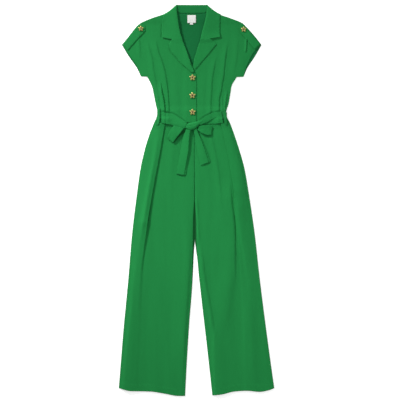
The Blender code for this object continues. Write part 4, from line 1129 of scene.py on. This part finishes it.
def turned(rings, spot, seat, share):
    """Points of rings about a spot, and of the middles under and over them."""
    turn = np.linspace(0, 2 * pi, AROUND, endpoint=False)
    petal = np.abs(np.cos(PETALS / 2 * (turn - pi / 2)))
    points = []
    for radius, level, parted in rings:
        reach = share * radius * (1 - parted * PETAL_PART * (1 - petal ** PETAL_POWER))
        vein = VEIN * parted * petal ** VEIN_POWER * (level > VEIN_FROM)
        points.append(np.stack([spot.u + reach * np.cos(turn), spot.v + reach * np.sin(turn),
                                seat + level - vein], -1))
    middles = [[spot.u, spot.v, seat + rings[0][1]],
               [spot.u, spot.v, seat + rings[-1][1] + MIDDLE_RISE]]
    return np.concatenate(points + [np.array(middles)])


def ring_faces(count, start):
    faces = []
    under = start + count * AROUND
    last = start + (count - 1) * AROUND
    for k in range(AROUND):
        nxt = (k + 1) % AROUND
        faces.append((under, start + nxt, start + k))
        for i in range(count - 1):
            a = start + i * AROUND
            faces.append((a + k, a + nxt, a + AROUND + nxt, a + AROUND + k))
        faces.append((under + 1, last + k, last + nxt))
    return faces


def button(spot, seat, share=1.0):
    """A cast flower: five parted petals over a dark disc, with a brown boss in the middle."""
    points = []
    faces = []
    finish = []
    for rings, metal in ((PETAL_RINGS, 0), (DISC_RINGS, 1), (BOSS_RINGS, 1)):
        start = sum(len(part) for part in points)
        points.append(turned(rings, spot, seat, share))
        added = ring_faces(len(rings), start)
        faces += added
        finish += [metal] * len(added)
    add_mesh(spot.name + "_cast", np.concatenate(points), faces, [brass, enamel],
             spot.name, finish)


def label(name, left, right, top, low, node):
    u, v = np.meshgrid(np.linspace(left, right, LABEL_POINTS), np.linspace(top, low, LABEL_POINTS))
    height = back_height(u, v) + WALL + LAY_GAP
    shell(name, np.stack([u, v, height], -1), node, tape, LABEL_THICK)


def seat_of(spot, lift=0):
    """The highest middle of the cloth under a button."""
    u = spot.u + SEAT_REACH * np.array([0, 1, -1, 0, 0])
    v = spot.v + SEAT_REACH * np.array([0, 0, 0, 1, -1])
    return float(np.max(over_height(u, v, lift)))


back_bodice()
front_bodice("front_left", SHOULDER_LEFT, FRONT_SIDE_LEFT, NECK_LEFT, "front_bodice_left",
             over=True)
front_bodice("front_right", SHOULDER_RIGHT, FRONT_SIDE_RIGHT, NECK_RIGHT, "front_bodice_right")
round_neck = collar_grid()
collar(round_neck)
lapel("lapel_turned_left", LAPEL_LEFT, round_neck[0, :FALL_POINTS], "lapel_left", raised=2.0)
lapel("lapel_turned_right", LAPEL_RIGHT, round_neck[-1, :FALL_POINTS], "lapel_right", raised=0.6)
strip("tab_left", TAB_LEFT, "sleeve_tab_left", crown=0.4, sewn=True)
strip("tab_right", TAB_RIGHT, "sleeve_tab_right", crown=0.4, sewn=True)
back_leg("back_of_leg_left", LEG_LEFT, "back_leg_left")
back_leg("back_of_leg_right", LEG_RIGHT, "back_leg_right")
front_leg("leg_left", LEG_LEFT, "front_leg_left")
front_leg("leg_right", LEG_RIGHT, "front_leg_right")
belt_back()
strip("band_left", BAND_LEFT, "belt_band_left")
strip("band_right", BAND_RIGHT, "belt_band_right", wide=48, ripple=split_band)
# The loops' strands after their turn get painted shade.
strip("loop_left", LOOP_LEFT, "bow_loop_left", crown=0.4, painted_shade_from=3)
strip("loop_right", LOOP_RIGHT, "bow_loop_right", crown=0.4, painted_shade_from=3)
strip("tail_left", TAIL_LEFT, "belt_tail_left", wide=36, ripple=curled)
strip("tail_right", TAIL_RIGHT, "belt_tail_right", wide=36, ripple=curled)
strip("carrier_left", CARRIER_LEFT, "belt_carrier_left", crown=0, wide=6)
strip("carrier_right", CARRIER_RIGHT, "belt_carrier_right", crown=0, wide=6)
knot()
for spot in BUTTONS:
    button(spot, seat_of(spot) - WALL / 2)
for spot in TAB_BUTTONS:
    button(spot, seat_of(spot, lift=1.4) + WALL / 2 + LAY_GAP, share=0.88)
label("label_square", left=-19, right=13.5, top=393, low=362.8, node="neck_label")
label("label_tab", left=-9.5, right=3, top=362.5, low=357, node="size_tab")


# ---- floor, light and camera

def floor():
    mesh = bpy.data.meshes.new("floor")
    corners = [(-1, -1), (1, -1), (1, 1), (-1, 1)]
    mesh.from_pydata([(x * FLOOR_HALF, y * FLOOR_HALF, 0) for x, y in corners], [], [(0, 1, 2, 3)])
    made, _, shader = nodes_of("pale_floor")
    set_inputs(shader, {"Base Color": (0.86, 0.86, 0.86, 1), "Roughness": 0.9,
                        "Specular IOR Level": 0.1, "Emission Color": (1, 1, 1, 1),
                        "Emission Strength": 0.5})
    mesh.materials.append(made)
    plane = new_object("floor", mesh)
    plane.location.z = FLOOR_LEVEL


def softbox(name, place, aim, size, power, spread=180.0):
    data = bpy.data.lights.new(name, "AREA")
    data.shape = "DISK"
    data.size = size
    data.energy = power
    data.spread = radians(spread)
    lamp = new_object(name, data)
    lamp.location = place
    lamp.rotation_mode = "QUATERNION"
    lamp.rotation_quaternion = (Vector(aim) - Vector(place)).to_track_quat("-Z", "Y")


def world(colour, strength):
    made = bpy.data.worlds.new("studio")
    made.use_nodes = True
    set_inputs(made.node_tree.nodes["Background"], {"Color": (*colour, 1), "Strength": strength})
    bpy.context.scene.world = made


def camera():
    """Straight down, with the photo's width in millimetres over the floor."""
    data = bpy.data.cameras.new("camera")
    data.lens = LENS
    data.sensor_width = SENSOR
    made = new_object("camera", data)
    made.location = (*CAMERA_PLACE, PHOTO_WIDTH * MM * LENS / SENSOR)
    bpy.context.scene.camera = made


floor()
world((1.0, 1.0, 1.0), strength=0.47)
softbox("key", (-2.55, 3.1, 1.9), (-0.11, -0.14, 0.0), size=0.7, power=10.5, spread=38)
softbox("overhead", (0.75, 0.6, 1.9), (0.1, 0.15, 0.0), size=1.2, power=5.6)
camera()
bpy.context.scene.view_settings.view_transform = "Standard"
bpy.context.scene.view_settings.look = "None"
